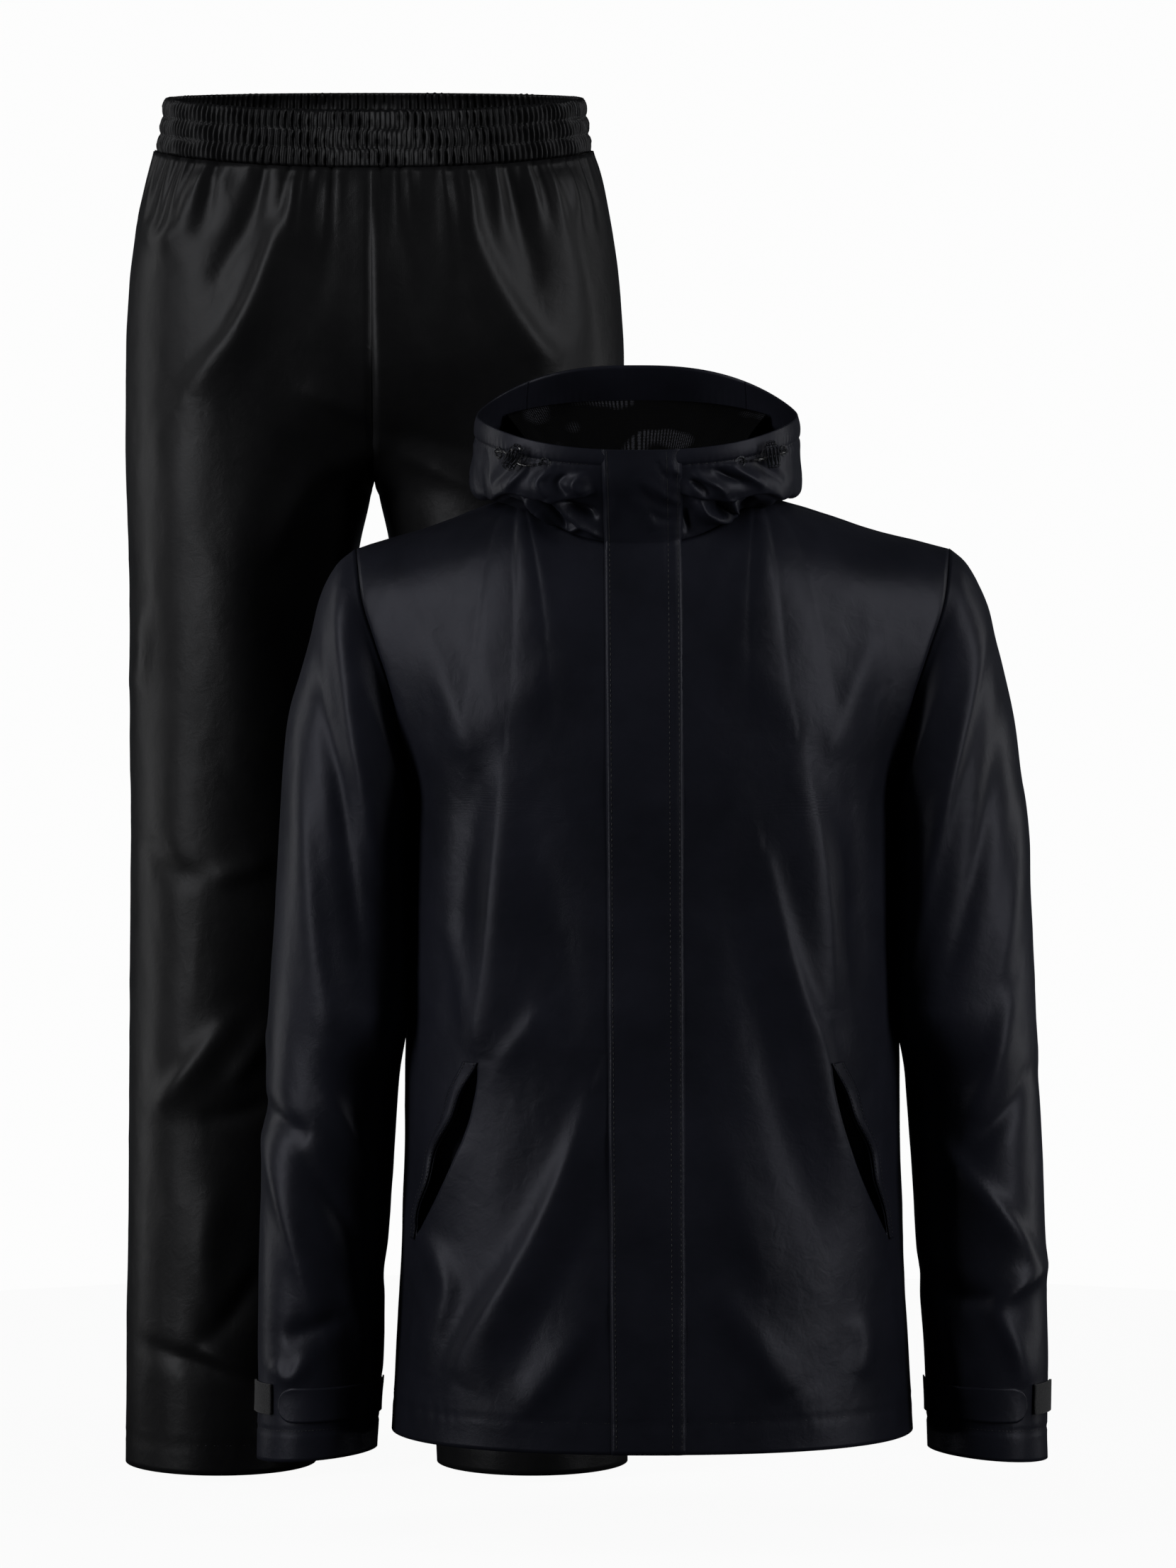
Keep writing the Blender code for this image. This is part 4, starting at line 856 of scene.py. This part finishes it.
def front_patch(side, outer):
    """The part of a front between the fly and the slit line, or from there to the side seam."""

    def surface(u, v):
        line, t = slit_share(v)
        gape = mouth(t, outer) / BODY_RADIUS / (math.pi / 2)
        w = u if side > 0 else 1 - u
        if outer:
            start = line + gape
            s = start + (1 - start) * w
        else:
            s = (line - gape) * w
        return FRONTS[side](s if side > 0 else 1 - s, v)

    return surface


for side, name in SIDES:
    patches = [Patch(front_patch(side, False), 56, 220, (0.19, 0.72)),
               Patch(front_patch(side, True), 42, 220, (0.12, 0.72))]
    cloth("front_" + name, "jacket_front_" + name, patches, JACKET)
cloth("back_panel", "jacket_back", [Patch(BACK, 110, 150, (0.60, 0.72))], JACKET)

# %% [markdown]
# ## Sleeves

# %% sleeves
SLEEVE_LENGTH = 0.70
SLEEVE_GIRTH = 0.34
CUFF_STITCH = 0.030
SEAM_RIDGE = 0.0006  # how far the armhole seam stands up
SEAM_REACH = 0.006  # and how far down the sleeve it is felt


def sleeve_details(_place, u, v):
    ridge = SEAM_RIDGE * np.exp(-(((1 - v) * SLEEVE_LENGTH / SEAM_REACH) ** 2))
    return stitched_line(v * SLEEVE_LENGTH - CUFF_STITCH, u * SLEEVE_GIRTH) + ridge


SLEEVES = {side: creased(partial(sleeve_point, side), SLEEVE_CREASES, SLEEVE_Y, 12 + side, rough=0.0010,
                         extra=sleeve_details) for side in (1, -1)}
for side, name in SIDES:
    patch = Patch(SLEEVES[side], 104, 190, (0.36, 0.72))
    cloth("arm_" + name, "sleeve_" + name, [patch], JACKET, closed=True)

# %% [markdown]
# ## The hood
#
# Three parts, worn down. Its face edge stands up round the neck like a collar, and a casing
# for the drawcord runs 18 mm below that edge.

# %% the hood
CASING = 0.80  # how far up the hood its casing is stitched
HOOD_ARC = 0.120  # metres of hood for a radian of turn
HOOD_RISE = 0.100  # metres of hood from the neck seam to its rim


def on_the_hood(degrees, up):
    """Metres round the hood and up it, from degrees round and a share up."""
    return math.radians(degrees) * HOOD_ARC, up * HOOD_RISE


HOOD_FOLDS = creases("all", [
    # to the wearer's right of the flap, below the lap: sharp pleats that run down to the neck seam
    ([(-40, .37), (-38, .22), (-37, .04)], 3.4, 8.5, .35),
    ([(-31, .36), (-31, .22), (-31, .05)], 2.6, -6),
    ([(-27, .36), (-23, .18), (-14, .05)], 3, 8, .35),
    ([(-24, .31), (-17, .25), (-11, .23)], 4, -8),
    ([(-20, .12), (-26, .06), (-30, .03)], 2.6, 4),
    ([(-50, .35), (-48, .20), (-45, .06)], 4.5, -5.5),
    ([(-64, .35), (-60, .22), (-56, .08)], 6, 4.5, .2),
    # and in the band above it
    ([(-14, .68), (-17, .56), (-15, .44)], 3.4, 3.6, .3),
    ([(-20, .66), (-23, .54), (-20, .42)], 3.4, -4),
    ([(-26, .70), (-30, .56), (-27, .42)], 4, 4.4, -.3),
    ([(-36, .72), (-41, .58), (-48, .46)], 5.5, 4, -.3),
    ([(-44, .72), (-50, .60), (-58, .50)], 5.5, -3.6),
    # to the wearer's left of the flap
    ([(16, .37), (25, .22), (46, .05)], 3, 8, -.35),
    ([(22, .36), (32, .22), (50, .10)], 2.8, -6.5),
    ([(30, .37), (38, .24), (51, .06)], 3, 8, -.35),
    ([(40, .36), (47, .22), (56, .07)], 3.4, -6.5),
    ([(13, .26), (16, .16), (20, .06)], 3, -4.5),
    ([(54, .36), (60, .22), (66, .08)], 5, 5.5),
    ([(14, .70), (18, .60), (23, .52), (26, .43)], 3, 4.5, .3),
    ([(13, .60), (17, .52), (20, .42)], 2.8, -5),
    ([(22, .72), (27, .62), (34, .54)], 3.2, -4.5),
    ([(28, .74), (35, .62), (44, .50)], 4.2, 4.8, .2),
    ([(40, .74), (48, .62), (58, .52)], 5, -4.2),
    # round the back, where it hangs down
    ([(-70, .34), (-90, .48), (-115, .52)], 10, 5),
    ([(80, .32), (100, .46), (122, .52)], 10, 5),
    ([(130, .34), (160, .26), (190, .28), (220, .38)], 11, 6, .2),
    ([(140, .55), (170, .48), (205, .54)], 10, -4.5),
    ([(150, .72), (178, .66), (206, .72)], 9, 4),
    ([(168, .40), (172, .56), (170, .74)], 11, -3.5),
], on_the_hood)
HOOD_ROUGH = 0.0018
CASING_SWELL = 0.0012
LAP = 0.0052  # how far the band round the face stands over what lies below it
LAP_EDGE = 0.385  # how far up its lower edge is
FLAP_DEGREES = (9.5, 14.0)  # between these the hood comes out from under the flap


def hood_lap(degrees, v):
    """The folded band round the face laps over the pleats below it, on both sides of the flap."""
    there = 1 - ease(degrees, 54, 80)
    edge = LAP_EDGE + 0.035 * np.sin(degrees * 0.16 + 0.6)
    return LAP * there * ease(v, edge - 0.012, edge + 0.022) * (1 - ease(v, edge + 0.06, CASING - 0.06))


def hood_folds(angle, v):
    height = 0.0 * angle
    for crease in HOOD_FOLDS:
        for turns in (-2 * math.pi, 0.0, 2 * math.pi):
            height = height + crease_height((angle + turns) * HOOD_ARC, v * HOOD_RISE, crease)
    return height


def hood_by_turns(turn, v):
    """The plain hood by a number from 0 to 1, which is two turns round it."""
    return hood_point((turn - 0.5) * 4 * math.pi, v)


def hood_cloth(angle, v, out=0.0):
    """The hood with its folds and its casing, by angle and share up."""
    angle, v = np.broadcast_arrays(np.asarray(angle, float), np.asarray(v, float))
    turn = angle / (4 * math.pi) + 0.5
    place = hood_point(angle, v)
    facing = normals(hood_by_turns, turn, v, 0.002)
    calm = ease(v, 0.0, 0.05) * (1 - ease(v, CASING - 0.06, CASING))
    degrees = np.abs(np.degrees(angle))
    free = ease(degrees, *FLAP_DEGREES)
    height = hood_folds(angle, v) + hood_lap(degrees, v) + HOOD_ROUGH * crumple(place, 0.030, 9)
    height = height * calm * free + stitched_line((v - CASING) * HOOD_RISE, angle * HOOD_ARC)
    height += CASING_SWELL * np.sin(math.pi * np.clip((v - CASING) / (1 - CASING), 0, 1))
    return place + facing * (height + out)[..., None]


def hood_strip(start, end):
    first, last = math.radians(start), math.radians(end)
    return lambda u, v: hood_cloth(first + (last - first) * u, v)


turn = HOOD_CENTRE_ANGLE
for name, start, end, columns in (("right", turn - 180, 0, 186), ("left", 0, 180 - turn, 186),
                                  ("centre", 180 - turn, 180 + turn, 86)):
    patch = Patch(hood_strip(start, end), columns, 72, (HOOD_ARC * math.radians(end - start), 0.12))
    cloth("hood_part_" + name, "hood_" + name, [patch], JACKET)

# %% [markdown]
# ## Mesh lining inside the hood

# %% mesh lining
MESH_TOP = 0.86
MESH_SPAN = 104.0
MESH_INSET = {"low": 0.0040, "high": 0.0026}  # from the seam at its foot and from the hood at its top
MESH_SAG, MESH_DRAPE = 0.0020, 0.0026
MESH_THICKNESS = 0.0007


def mesh_surface(u, v):
    angle = np.radians(180 - MESH_SPAN / 2 + MESH_SPAN * u)
    rim = hood_point(angle, MESH_TOP + 0 * u)
    outward = points(np.sin(angle), -np.cos(angle), 0)
    low = neck_point(angle) - outward * MESH_INSET["low"] + np.array([0, 0, 0.006])
    high = rim - outward * MESH_INSET["high"]
    place = low + (high - low) * v[..., None]
    sag = MESH_SAG * np.sin(math.pi * v) * (1 + 0.5 * np.sin(angle * 9))
    drape = np.sin(angle * 15 + 1.6 * np.sin(angle * 6)) + 0.5 * np.sin(angle * 27 + 2.5 * v)
    sag = sag + MESH_DRAPE * (1 + drape) * np.sin(math.pi * v) ** 0.6
    return place - outward * sag[..., None]


cloth("hood_mesh_lining", "hood_mesh", [Patch(mesh_surface, 160, 24, (0.22, 0.10))],
      (MESH_CLOTH, "mesh_cloth"), thickness=MESH_THICKNESS)

# %% [markdown]
# ## The storm flap

# %% the storm flap
FLAP_FREE_X = {"hem": -0.0300, "top": -0.0380}
FLAP_SEWN_X = {"hem": 0.0275, "top": 0.0232}
FLAP_BODY_SHARE = 16 / 23
FLAP_OUT = 0.0016
FLAP_FREE_OUT, FLAP_SEWN_OUT = 0.0005, -0.0002  # its free edge lies closer, and its sewn edge is let in
FLAP_THICKNESS = 0.0006
FLAP_EDGE = 0.0025  # over this width it bends down to its edges
FLAP_WIDTH = 0.059
FLAP_ROWS = (0.0035, 0.0110)  # its rows of stitches, from its sewn edge


def flap_x(u, v):
    free = FLAP_FREE_X["hem"] + (FLAP_FREE_X["top"] - FLAP_FREE_X["hem"]) * v
    sewn = FLAP_SEWN_X["hem"] + (FLAP_SEWN_X["top"] - FLAP_SEWN_X["hem"]) * v
    return free + (sewn - free) * u


def match(surface, x, v, low, high):
    """The u of a surface at which it has this x, in its row v."""
    low, high = low + 0 * x, high + 0 * x
    for _ in range(26):
        middle = (low + high) / 2
        below = surface(middle, v)[..., 0] < x
        low, high = np.where(below, middle, low), np.where(below, high, middle)
    return (low + high) / 2


def both_fronts(w, v):
    left = panel_point(1, 1, np.clip(2 * w - 1, 0, 1), v)
    right = panel_point(-1, 1, np.clip(1 - 2 * w, 0, 1), v)
    return np.where((w < 0.5)[..., None], right, left)


def flap_surface(u, v):
    u, v = np.broadcast_arrays(np.asarray(u, float), np.asarray(v, float))
    x = flap_x(u, v)
    low = np.clip(v / FLAP_BODY_SHARE, 0, 1)
    high = np.clip((v - FLAP_BODY_SHARE) / (1 - FLAP_BODY_SHARE), 0, 1)
    w = match(both_fronts, x, low, 0.2, 0.8)
    left, right = FRONTS[1](np.clip(2 * w - 1, 0, 1), low), FRONTS[-1](np.clip(2 * w, 0, 1), low)
    body = np.where((w < 0.5)[..., None], right, left)
    hood = hood_point(match(hood_point, x, high, -1.5, 1.5), high)
    place = np.where((v <= FLAP_BODY_SHARE)[..., None], body, hood)
    place[..., 1] -= FLAP_OUT
    for to_edge, out in ((u, FLAP_FREE_OUT), (1 - u, FLAP_SEWN_OUT)):
        place[..., 1] += (FLAP_OUT - out) * np.exp(-((to_edge * FLAP_WIDTH / FLAP_EDGE) ** 2))
    return place


FLAP_CREASES = creases("front", [
    # round the neck it wrinkles with the hood
    ([(-9, 57), (4, 45), (15, 38)], 2.8, -1.5),
    ([(-4, 61), (9, 50), (20, 44)], 3, 2.6, .3),
    ([(4, 79), (10, 67), (20, 59)], 2.8, -1.5),
    ([(9, 81), (15, 71), (23, 65)], 2.8, 2.2, .3),
    ([(-3, 38), (9, 31), (19, 32)], 2.6, -1.4),
    ([(-14, 50), (-4, 36), (2, 22)], 3.4, 2, .2),
    ([(-30, 70), (-26, 50), (-30, 30)], 3.6, 1.6),
    ([(-34, 4), (-20, 6), (-10, 2)], 3, -1.6),
    ([(-30, -160), (-10, -185), (20, -180)], 12, 1.6),
    ([(-34, -330), (-8, -350), (22, -335)], 14, 1.6),
    ([(-30, -430), (-15, -470), (-5, -520)], 12, 2.2),
    ([(-30, -560), (-4, -590), (24, -585)], 12, 1.8),
])


def flap_details(place, u, _v):
    across = (u - 1) * FLAP_WIDTH
    edge = 0.0 * across
    for row in FLAP_ROWS:
        edge = edge + stitched_line(across + row, place[..., 2], pucker=0.00005)
    return edge


FLAP = creased(flap_surface, FLAP_CREASES, 0.0, 21, rough=0.0003, extra=flap_details)
cloth("front_storm_flap", "storm_flap", [Patch(FLAP, 22, 260, (FLAP_WIDTH, 0.79))], JACKET,
      thickness=FLAP_THICKNESS)

# %% [markdown]
# ## Pockets
#
# Each mouth is a slit in its front, with a welt sewn along its outer edge and a bag behind.

# %% pockets
WELT_START = 0.0006  # from the mouth's outer edge
WELT_ALONG = (-0.03, 1.03)  # its ends, as shares of the mouth's length
WELT_BULGE = 0.0024
WELT_WIDTH = 0.0155
WELT_LOW = 0.62  # its width at its lower end, as a share of that
BAG_ACROSS = (-0.075, 0.026)
BAG_ALONG = (-0.10, 1.06)
BAG_INSET = 0.0022  # from the front's inner side to the bag's edge
BAG_DEPTH = 0.024


def pocket_strip(side, ends_across, ends_along, out, bulge, welt=False):
    """A strip along the slit. Its ends across are metres towards the side seam."""
    front, (start, end), (low, high) = FRONTS[side], ends_across, ends_along

    def surface(u, v):
        share = u if side > 0 else 1 - u
        along = low + (high - low) * v
        height = POCKET_BOTTOM[0] + (POCKET_TOP[0] - POCKET_BOTTOM[0]) * along
        degrees = POCKET_BOTTOM[1] + (POCKET_TOP[1] - POCKET_BOTTOM[1]) * along
        across = start + (end - start) * share
        if welt:
            across = start + (end - start) * share * (WELT_LOW + (1 - WELT_LOW) * v) + mouth(along, True)
        s = (degrees + np.degrees(across / BODY_RADIUS)) / 90.0
        row = (height - HEM_Z) / BODY_HEIGHT * (1 - YOKE_SHARE)
        lift = out + bulge * np.sin(math.pi * share) * np.sin(math.pi * v)
        return front(s if side > 0 else 1 - s, row, lift)

    return surface


WELTS = {}
for side, name in SIDES:
    WELTS[side] = pocket_strip(side, (WELT_START, WELT_START + WELT_WIDTH), WELT_ALONG, LIFT + CLOTH,
                               WELT_BULGE, True)
    cloth("welt_" + name, "pocket_welt_" + name, [Patch(WELTS[side], 10, 80, (WELT_WIDTH, 0.155))], JACKET)
    bag = pocket_strip(side, BAG_ACROSS, BAG_ALONG, -CLOTH - BAG_INSET, -BAG_DEPTH)
    cloth("pocket_inside_" + name, "pocket_bag_" + name, [Patch(bag, 24, 40, (0.10, 0.17))], JACKET)

# %% [markdown]
# ## Cuff adjusters

# %% cuff adjusters
TAB_HEIGHT = -0.656
TAB_WIDTH = 0.027
TAB_THICKNESS = 0.0012
TAB_SPAN = (-95.0, 38.0)
TAPE_HEIGHT = -0.652
TAPE_WIDTH = 0.023
TAPE_SPAN = (46.0, 86.0)
TAPE_THICKNESS = 0.0020
TAPE_LIFT = 0.0022
CUFF_RADIUS = 0.048


def sleeve_strip(side, span, height, width, out, rounded=False):
    """A strip round the sleeve, by degrees from its front outwards."""
    stops = np.array(sorted((row.out_z + row.in_z) / 2 for row in SLEEVE))
    alongs = np.array(sorted((row.along for row in SLEEVE), reverse=True))

    def surface(u, v):
        share = u if side > 0 else 1 - u
        half = width / 2 + 0 * share
        if rounded:
            left = math.radians(span[1] - span[0]) * CUFF_RADIUS * (1 - share)
            round_off = np.sqrt(np.maximum(1 - (1 - np.minimum(left / half, 1)) ** 2, 0.02))
            half = half * round_off
        turn = math.pi / 2 - np.radians(span[0] + (span[1] - span[0]) * share)
        place_u = ((math.pi - turn) / (side * 2 * math.pi)) % 1.0
        place_v = 1 - np.interp(height + half * (2 * v - 1), stops, alongs)
        return SLEEVES[side](place_u, place_v, out)

    return surface


for side, name in SIDES:
    tab = sleeve_strip(side, TAB_SPAN, TAB_HEIGHT, TAB_WIDTH, LIFT + TAB_THICKNESS, True)
    cloth("adjuster_" + name, "cuff_tab_" + name, [Patch(tab, 60, 14, (0.11, TAB_WIDTH))], JACKET,
          thickness=TAB_THICKNESS)
    tape = sleeve_strip(side, TAPE_SPAN, TAPE_HEIGHT, TAPE_WIDTH, LIFT + TAPE_LIFT)
    cloth("loop_patch_" + name, "cuff_loop_tape_" + name, [Patch(tape, 24, 14, (0.034, TAPE_WIDTH))],
          (LOOP_TAPE, "loop_tape"), thickness=TAPE_THICKNESS)

# %% [markdown]
# ## The trousers

# %% trousers
LEG_HEM_STITCH = 0.024
WIDE_RIPPLE, NARROW_RIPPLE = 0.0019, 0.0012  # how far the cloth ripples below the waistband
RISE = BAND_BOTTOM["side"] - TROUSER_HEM_Z


def trouser_details(place, _u, v):
    hem = stitched_line(v * RISE - LEG_HEM_STITCH, place[..., 0] + place[..., 1])
    gathered = ease(v, 0.925, 1.0)
    angle = np.arctan2(place[..., 0] - TROUSERS_X, TROUSERS_Y - place[..., 1])
    sway = 2.2 * np.sin(angle * 5 + 0.7) + 1.3 * np.sin(angle * 11)
    broad = WIDE_RIPPLE * gathered * np.sin(angle * 44 + sway)
    return hem + broad + NARROW_RIPPLE * gathered**2 * np.sin(angle * 85 + 2 * sway)


def trouser_plain(side, facing):
    return lambda u, v: trouser_point(side, facing, u if side * facing > 0 else 1 - u, v)


TROUSERS = {(side, facing): creased(trouser_plain(side, facing), TROUSER_CREASES, TROUSERS_Y,
                                    31, rough=0.0012, extra=trouser_details)
            for side in (1, -1) for facing in (1, -1)}
for (side, facing), surface in TROUSERS.items():
    node = f"trouser_{'front' if facing > 0 else 'back'}_{'left' if side > 0 else 'right'}"
    columns, rows = (66, 230) if facing > 0 else (56, 190)
    cloth(node.replace("trouser", "leg"), node, [Patch(surface, columns, rows, (0.28, 1.06))], TROUSER)

# %% [markdown]
# ## The shirred waistband
#
# Wide elastic in three channels. Each row of stitches draws the cloth in, so that it stands
# up in small gathers, about 170 round the waist.

# %% the waistband
GATHERS = 170
CHANNELS = 3
BAND_SWELL, BAND_GATHER, BAND_INSET = 0.0013, 0.0021, 0.0012
BAND_THICKNESS = 0.0016


def waistband_surface(u, v):
    angle = 2 * math.pi * u
    across, forward = round_part(angle, 2.15)
    mix = {key: pair["bottom"] + (pair["top"] - pair["bottom"]) * v
           for key, pair in (("half", BAND_HALF), ("front", BAND_FRONT), ("back", BAND_BACK))}
    depth = np.where(forward >= 0, mix["front"], mix["back"])
    share = np.where(forward >= 0, np.cos(angle) ** 2, 0.0)
    low = BAND_BOTTOM["side"] + (BAND_BOTTOM["front"] - BAND_BOTTOM["side"]) * share
    high = BAND_TOP["side"] + (BAND_TOP["front"] - BAND_TOP["side"]) * share
    row = v * CHANNELS
    swell = np.abs(np.sin(math.pi * row)) ** 0.7
    drift = 0.35 * np.sin(angle * 7 + np.floor(row) * 2.1) + 0.25 * np.sin(angle * 19 + np.floor(row))
    gather = np.sin(angle * GATHERS + drift * 3)
    uneven = 0.75 + 0.25 * np.sin(angle * 23 + 1.3 * np.floor(row + 0.5))
    out = BAND_SWELL * swell + BAND_GATHER * gather * uneven * (0.60 + 0.40 * swell) - BAND_INSET
    place = points(mix["half"] * across, -depth * forward, low + (high - low) * v)
    outward = points(np.sin(angle), -np.cos(angle), 0)
    return place + outward * out[..., None] + np.array([TROUSERS_X, TROUSERS_Y, 0])


cloth("elastic_waistband", "waistband", [Patch(waistband_surface, GATHERS * 6, 21, (0.92, 0.044))],
      TROUSER, thickness=BAND_THICKNESS, closed=True)

# %% [markdown]
# ## Stitches
#
# Each row of stitches is made of short bars of thread, 3 mm apart, that lie in the groove
# they have drawn into the cloth.

# %% stitches
STITCH_PITCH = 0.0032
STITCH_LENGTH = 0.0023
THREAD_RADIUS = 0.00028


def sew(name, runs, slot):
    """One object from rows of stitches. A run is a function of t, 0 to 1, and its length."""
    built, stitch = bmesh.new(), bpy.data.meshes.new("stitch")
    for run, length in runs:
        count = max(int(length / STITCH_PITCH), 1)
        at = (np.arange(count) + 0.5) / count
        half = STITCH_LENGTH / 2 / length
        for first, last in zip(run(np.clip(at - half, 0, 1)), run(np.clip(at + half, 0, 1))):
            along = Vector(last - first)
            turned = along.to_track_quat("Z", "Y").to_matrix().to_4x4()
            shape = Matrix.Diagonal((THREAD_RADIUS, THREAD_RADIUS, along.length / 2, 1))
            place = Matrix.Translation(Vector((first + last) / 2)) @ turned @ shape
            one = bmesh.new()
            bmesh.ops.create_uvsphere(one, u_segments=5, v_segments=4, radius=1, matrix=place)
            one.to_mesh(stitch)
            one.free()
            built.from_mesh(stitch)
    bpy.data.meshes.remove(stitch)
    mesh = bpy.data.meshes.new(name)
    built.to_mesh(mesh)
    built.free()
    print(f"{name}: {len(mesh.polygons)} faces")
    return settle(name, mesh, THREAD, slot)


OVER = 0.00012  # from the cloth up to the thread's middle
WELT_OVER = points(0, 0.0003, 0)
HEM_ROW = HEM_STITCH / BODY_HEIGHT * (1 - YOKE_SHARE)
CUFF_ROW = CUFF_STITCH / SLEEVE_LENGTH
jacket_runs = []
for side in (1, -1):
    jacket_runs.append((lambda t, side=side: FRONTS[side](t, 0 * t + HEM_ROW, OVER), 0.30))
    for across in (0.16, 0.84):
        u = across if side > 0 else 1 - across
        jacket_runs.append((lambda t, side=side, u=u: WELTS[side](0 * t + u, t) - WELT_OVER, 0.15))
    jacket_runs.append((lambda t, side=side: SLEEVES[side](t, 0 * t + CUFF_ROW, OVER), 0.33))
jacket_runs.append((lambda t: BACK(t, 0 * t + HEM_ROW, OVER), 0.55))
for across in (*FLAP_ROWS, FLAP_WIDTH - 0.004):
    u = 1 - across / FLAP_WIDTH
    jacket_runs.append((lambda t, u=u: FLAP(0 * t + u, 0.004 + 0.99 * t, OVER), 0.78))
jacket_runs.append((lambda t: hood_cloth(np.radians(12 + 336 * t), 0 * t + CASING, OVER), 0.70))
sew("jacket_stitching", jacket_runs, "jacket_cloth")

trouser_runs = []
for (side, facing), surface in TROUSERS.items():
    trouser_runs.append((lambda t, surface=surface: surface(t, 0 * t + LEG_HEM_STITCH / RISE, OVER), 0.23))
for row in range(1, CHANNELS):
    trouser_runs.append((lambda t, row=row: waistband_surface(t, 0 * t + row / CHANNELS) + points(
        0.0004 * np.sin(2 * math.pi * t), -0.0004 * np.cos(2 * math.pi * t), 0), 0.92))
sew("trouser_stitching", trouser_runs, "trouser_cloth")

# %% [markdown]
# ## Hood hardware

# %% hood hardware
FINISHES = {"cord_lock": (GLOSS_PLASTIC, "gloss_plastic"), "hood_cord": (CORD, "cord"),
            "eyelet": (DULL_STEEL, "eyelet_metal")}
for node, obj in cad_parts.items():
    for start, (material, slot) in FINISHES.items():
        if node.startswith(start):
            copy = obj.data.copy()
            copy.materials.clear()
            piece = settle("fitted_" + node, copy, material, slot, [node])
            bevel = piece.modifiers.new("soft edges", "SUBSURF")
            bevel.levels = bevel.render_levels = 1

# %% [markdown]
# ## A row type for what a cut piece measures flat; no pieces are listed

# %% flat sizes
Cut = namedtuple("Cut", "width length share held")

# %% [markdown]
# ## Light, floor and camera

# %% light, floor and camera
TARGET = Vector((-0.0478, 0.0, -0.181))
CAMERA_DISTANCE = 9.0
CAMERA_RISE = math.radians(5.5)
FLOOR_Z = TROUSER_HEM_Z - 0.006


def pale_floor():
    """Matt white board, evenly lit from below as in a product studio."""
    material, tree, shader = new_material("matt_white_board")
    coords = add(tree, "ShaderNodeTexCoord")
    tone = add(tree, "ShaderNodeTexNoise", [("Vector", coords.outputs["Object"])], Scale=1.5, Detail=2.0)
    tree.links.new(ramp(tree, tone.outputs["Fac"], 0.0, "#303031", 1.0, "#343435"),
                   shader.inputs["Base Color"])
    give(shader, Roughness=0.9, Specular_IOR_Level=0.0, Emission_Color=(1, 1, 1, 1))
    path = add(tree, "ShaderNodeLightPath")
    glow = add(tree, "ShaderNodeMath", [(0, path.outputs["Is Camera Ray"])], operation="MULTIPLY")
    glow.inputs[1].default_value = 0.95
    tree.links.new(glow.outputs["Value"], shader.inputs["Emission Strength"])
    return material


FLOOR_RADIUS = 1.3
board = bmesh.new()
bmesh.ops.create_circle(board, cap_ends=True, segments=96, radius=FLOOR_RADIUS)
bmesh.ops.translate(board, verts=board.verts, vec=(TARGET.x, 0.15, FLOOR_Z))
board_mesh = bpy.data.meshes.new("floor")
board.to_mesh(board_mesh)
board.free()
board_mesh.materials.append(pale_floor())
floor = bpy.data.objects.new("floor", board_mesh)
bpy.context.scene.collection.objects.link(floor)

LightPlace = namedtuple("LightPlace", "name place aim width height watts")
LIGHTS = [
    LightPlace("left_softbox", (-3.1, -1.55, 0.9), (-0.1, 0.0, -0.2), 1.0, 4.0, 84),
    LightPlace("right_softbox", (3.1, -1.55, 0.9), (-0.1, 0.0, -0.2), 1.0, 4.0, 74),
    LightPlace("left_rim", (-2.7, 1.2, 0.2), (-0.2, 0.1, -0.2), 0.7, 3.0, 15),
    LightPlace("right_rim", (2.7, 1.1, 0.2), (0.0, 0.0, -0.2), 0.7, 3.0, 15),
]
for row in LIGHTS:
    data = bpy.data.lights.new(row.name, "AREA")
    data.shape = "RECTANGLE"
    data.size, data.size_y = row.width, row.height
    data.energy = row.watts
    light = bpy.data.objects.new(row.name, data)
    light.location = row.place
    light.rotation_euler = (Vector(row.aim) - Vector(row.place)).to_track_quat("-Z", "Y").to_euler()
    bpy.context.scene.collection.objects.link(light)

# the room is white where it is seen, and dim where it lights the cloth
world = bpy.data.worlds.new("studio")
bpy.context.scene.world = world
world.use_nodes = True
room = world.node_tree
seen = room.nodes["Background"]
seen.inputs["Color"].default_value = (0.98, 0.98, 0.98, 1)
lighting = add(room, "ShaderNodeBackground", Color=(0.85, 0.92, 1.0, 1), Strength=0.03)
path = add(room, "ShaderNodeLightPath")
both = add(room, "ShaderNodeMixShader", [(0, path.outputs["Is Camera Ray"]), (1, lighting.outputs[0]),
                                         (2, seen.outputs[0])])
room.links.new(both.outputs[0], room.nodes["World Output"].inputs["Surface"])

camera_data = bpy.data.cameras.new("camera")
camera_data.lens = 268
camera_data.sensor_width = 36
camera = bpy.data.objects.new("camera", camera_data)
look = Vector((0, math.cos(CAMERA_RISE), -math.sin(CAMERA_RISE)))
camera.location = TARGET - look * CAMERA_DISTANCE
camera.rotation_euler = look.to_track_quat("-Z", "Y").to_euler()
bpy.context.scene.collection.objects.link(camera)
bpy.context.scene.camera = camera
bpy.context.scene.view_settings.view_transform = "Standard"
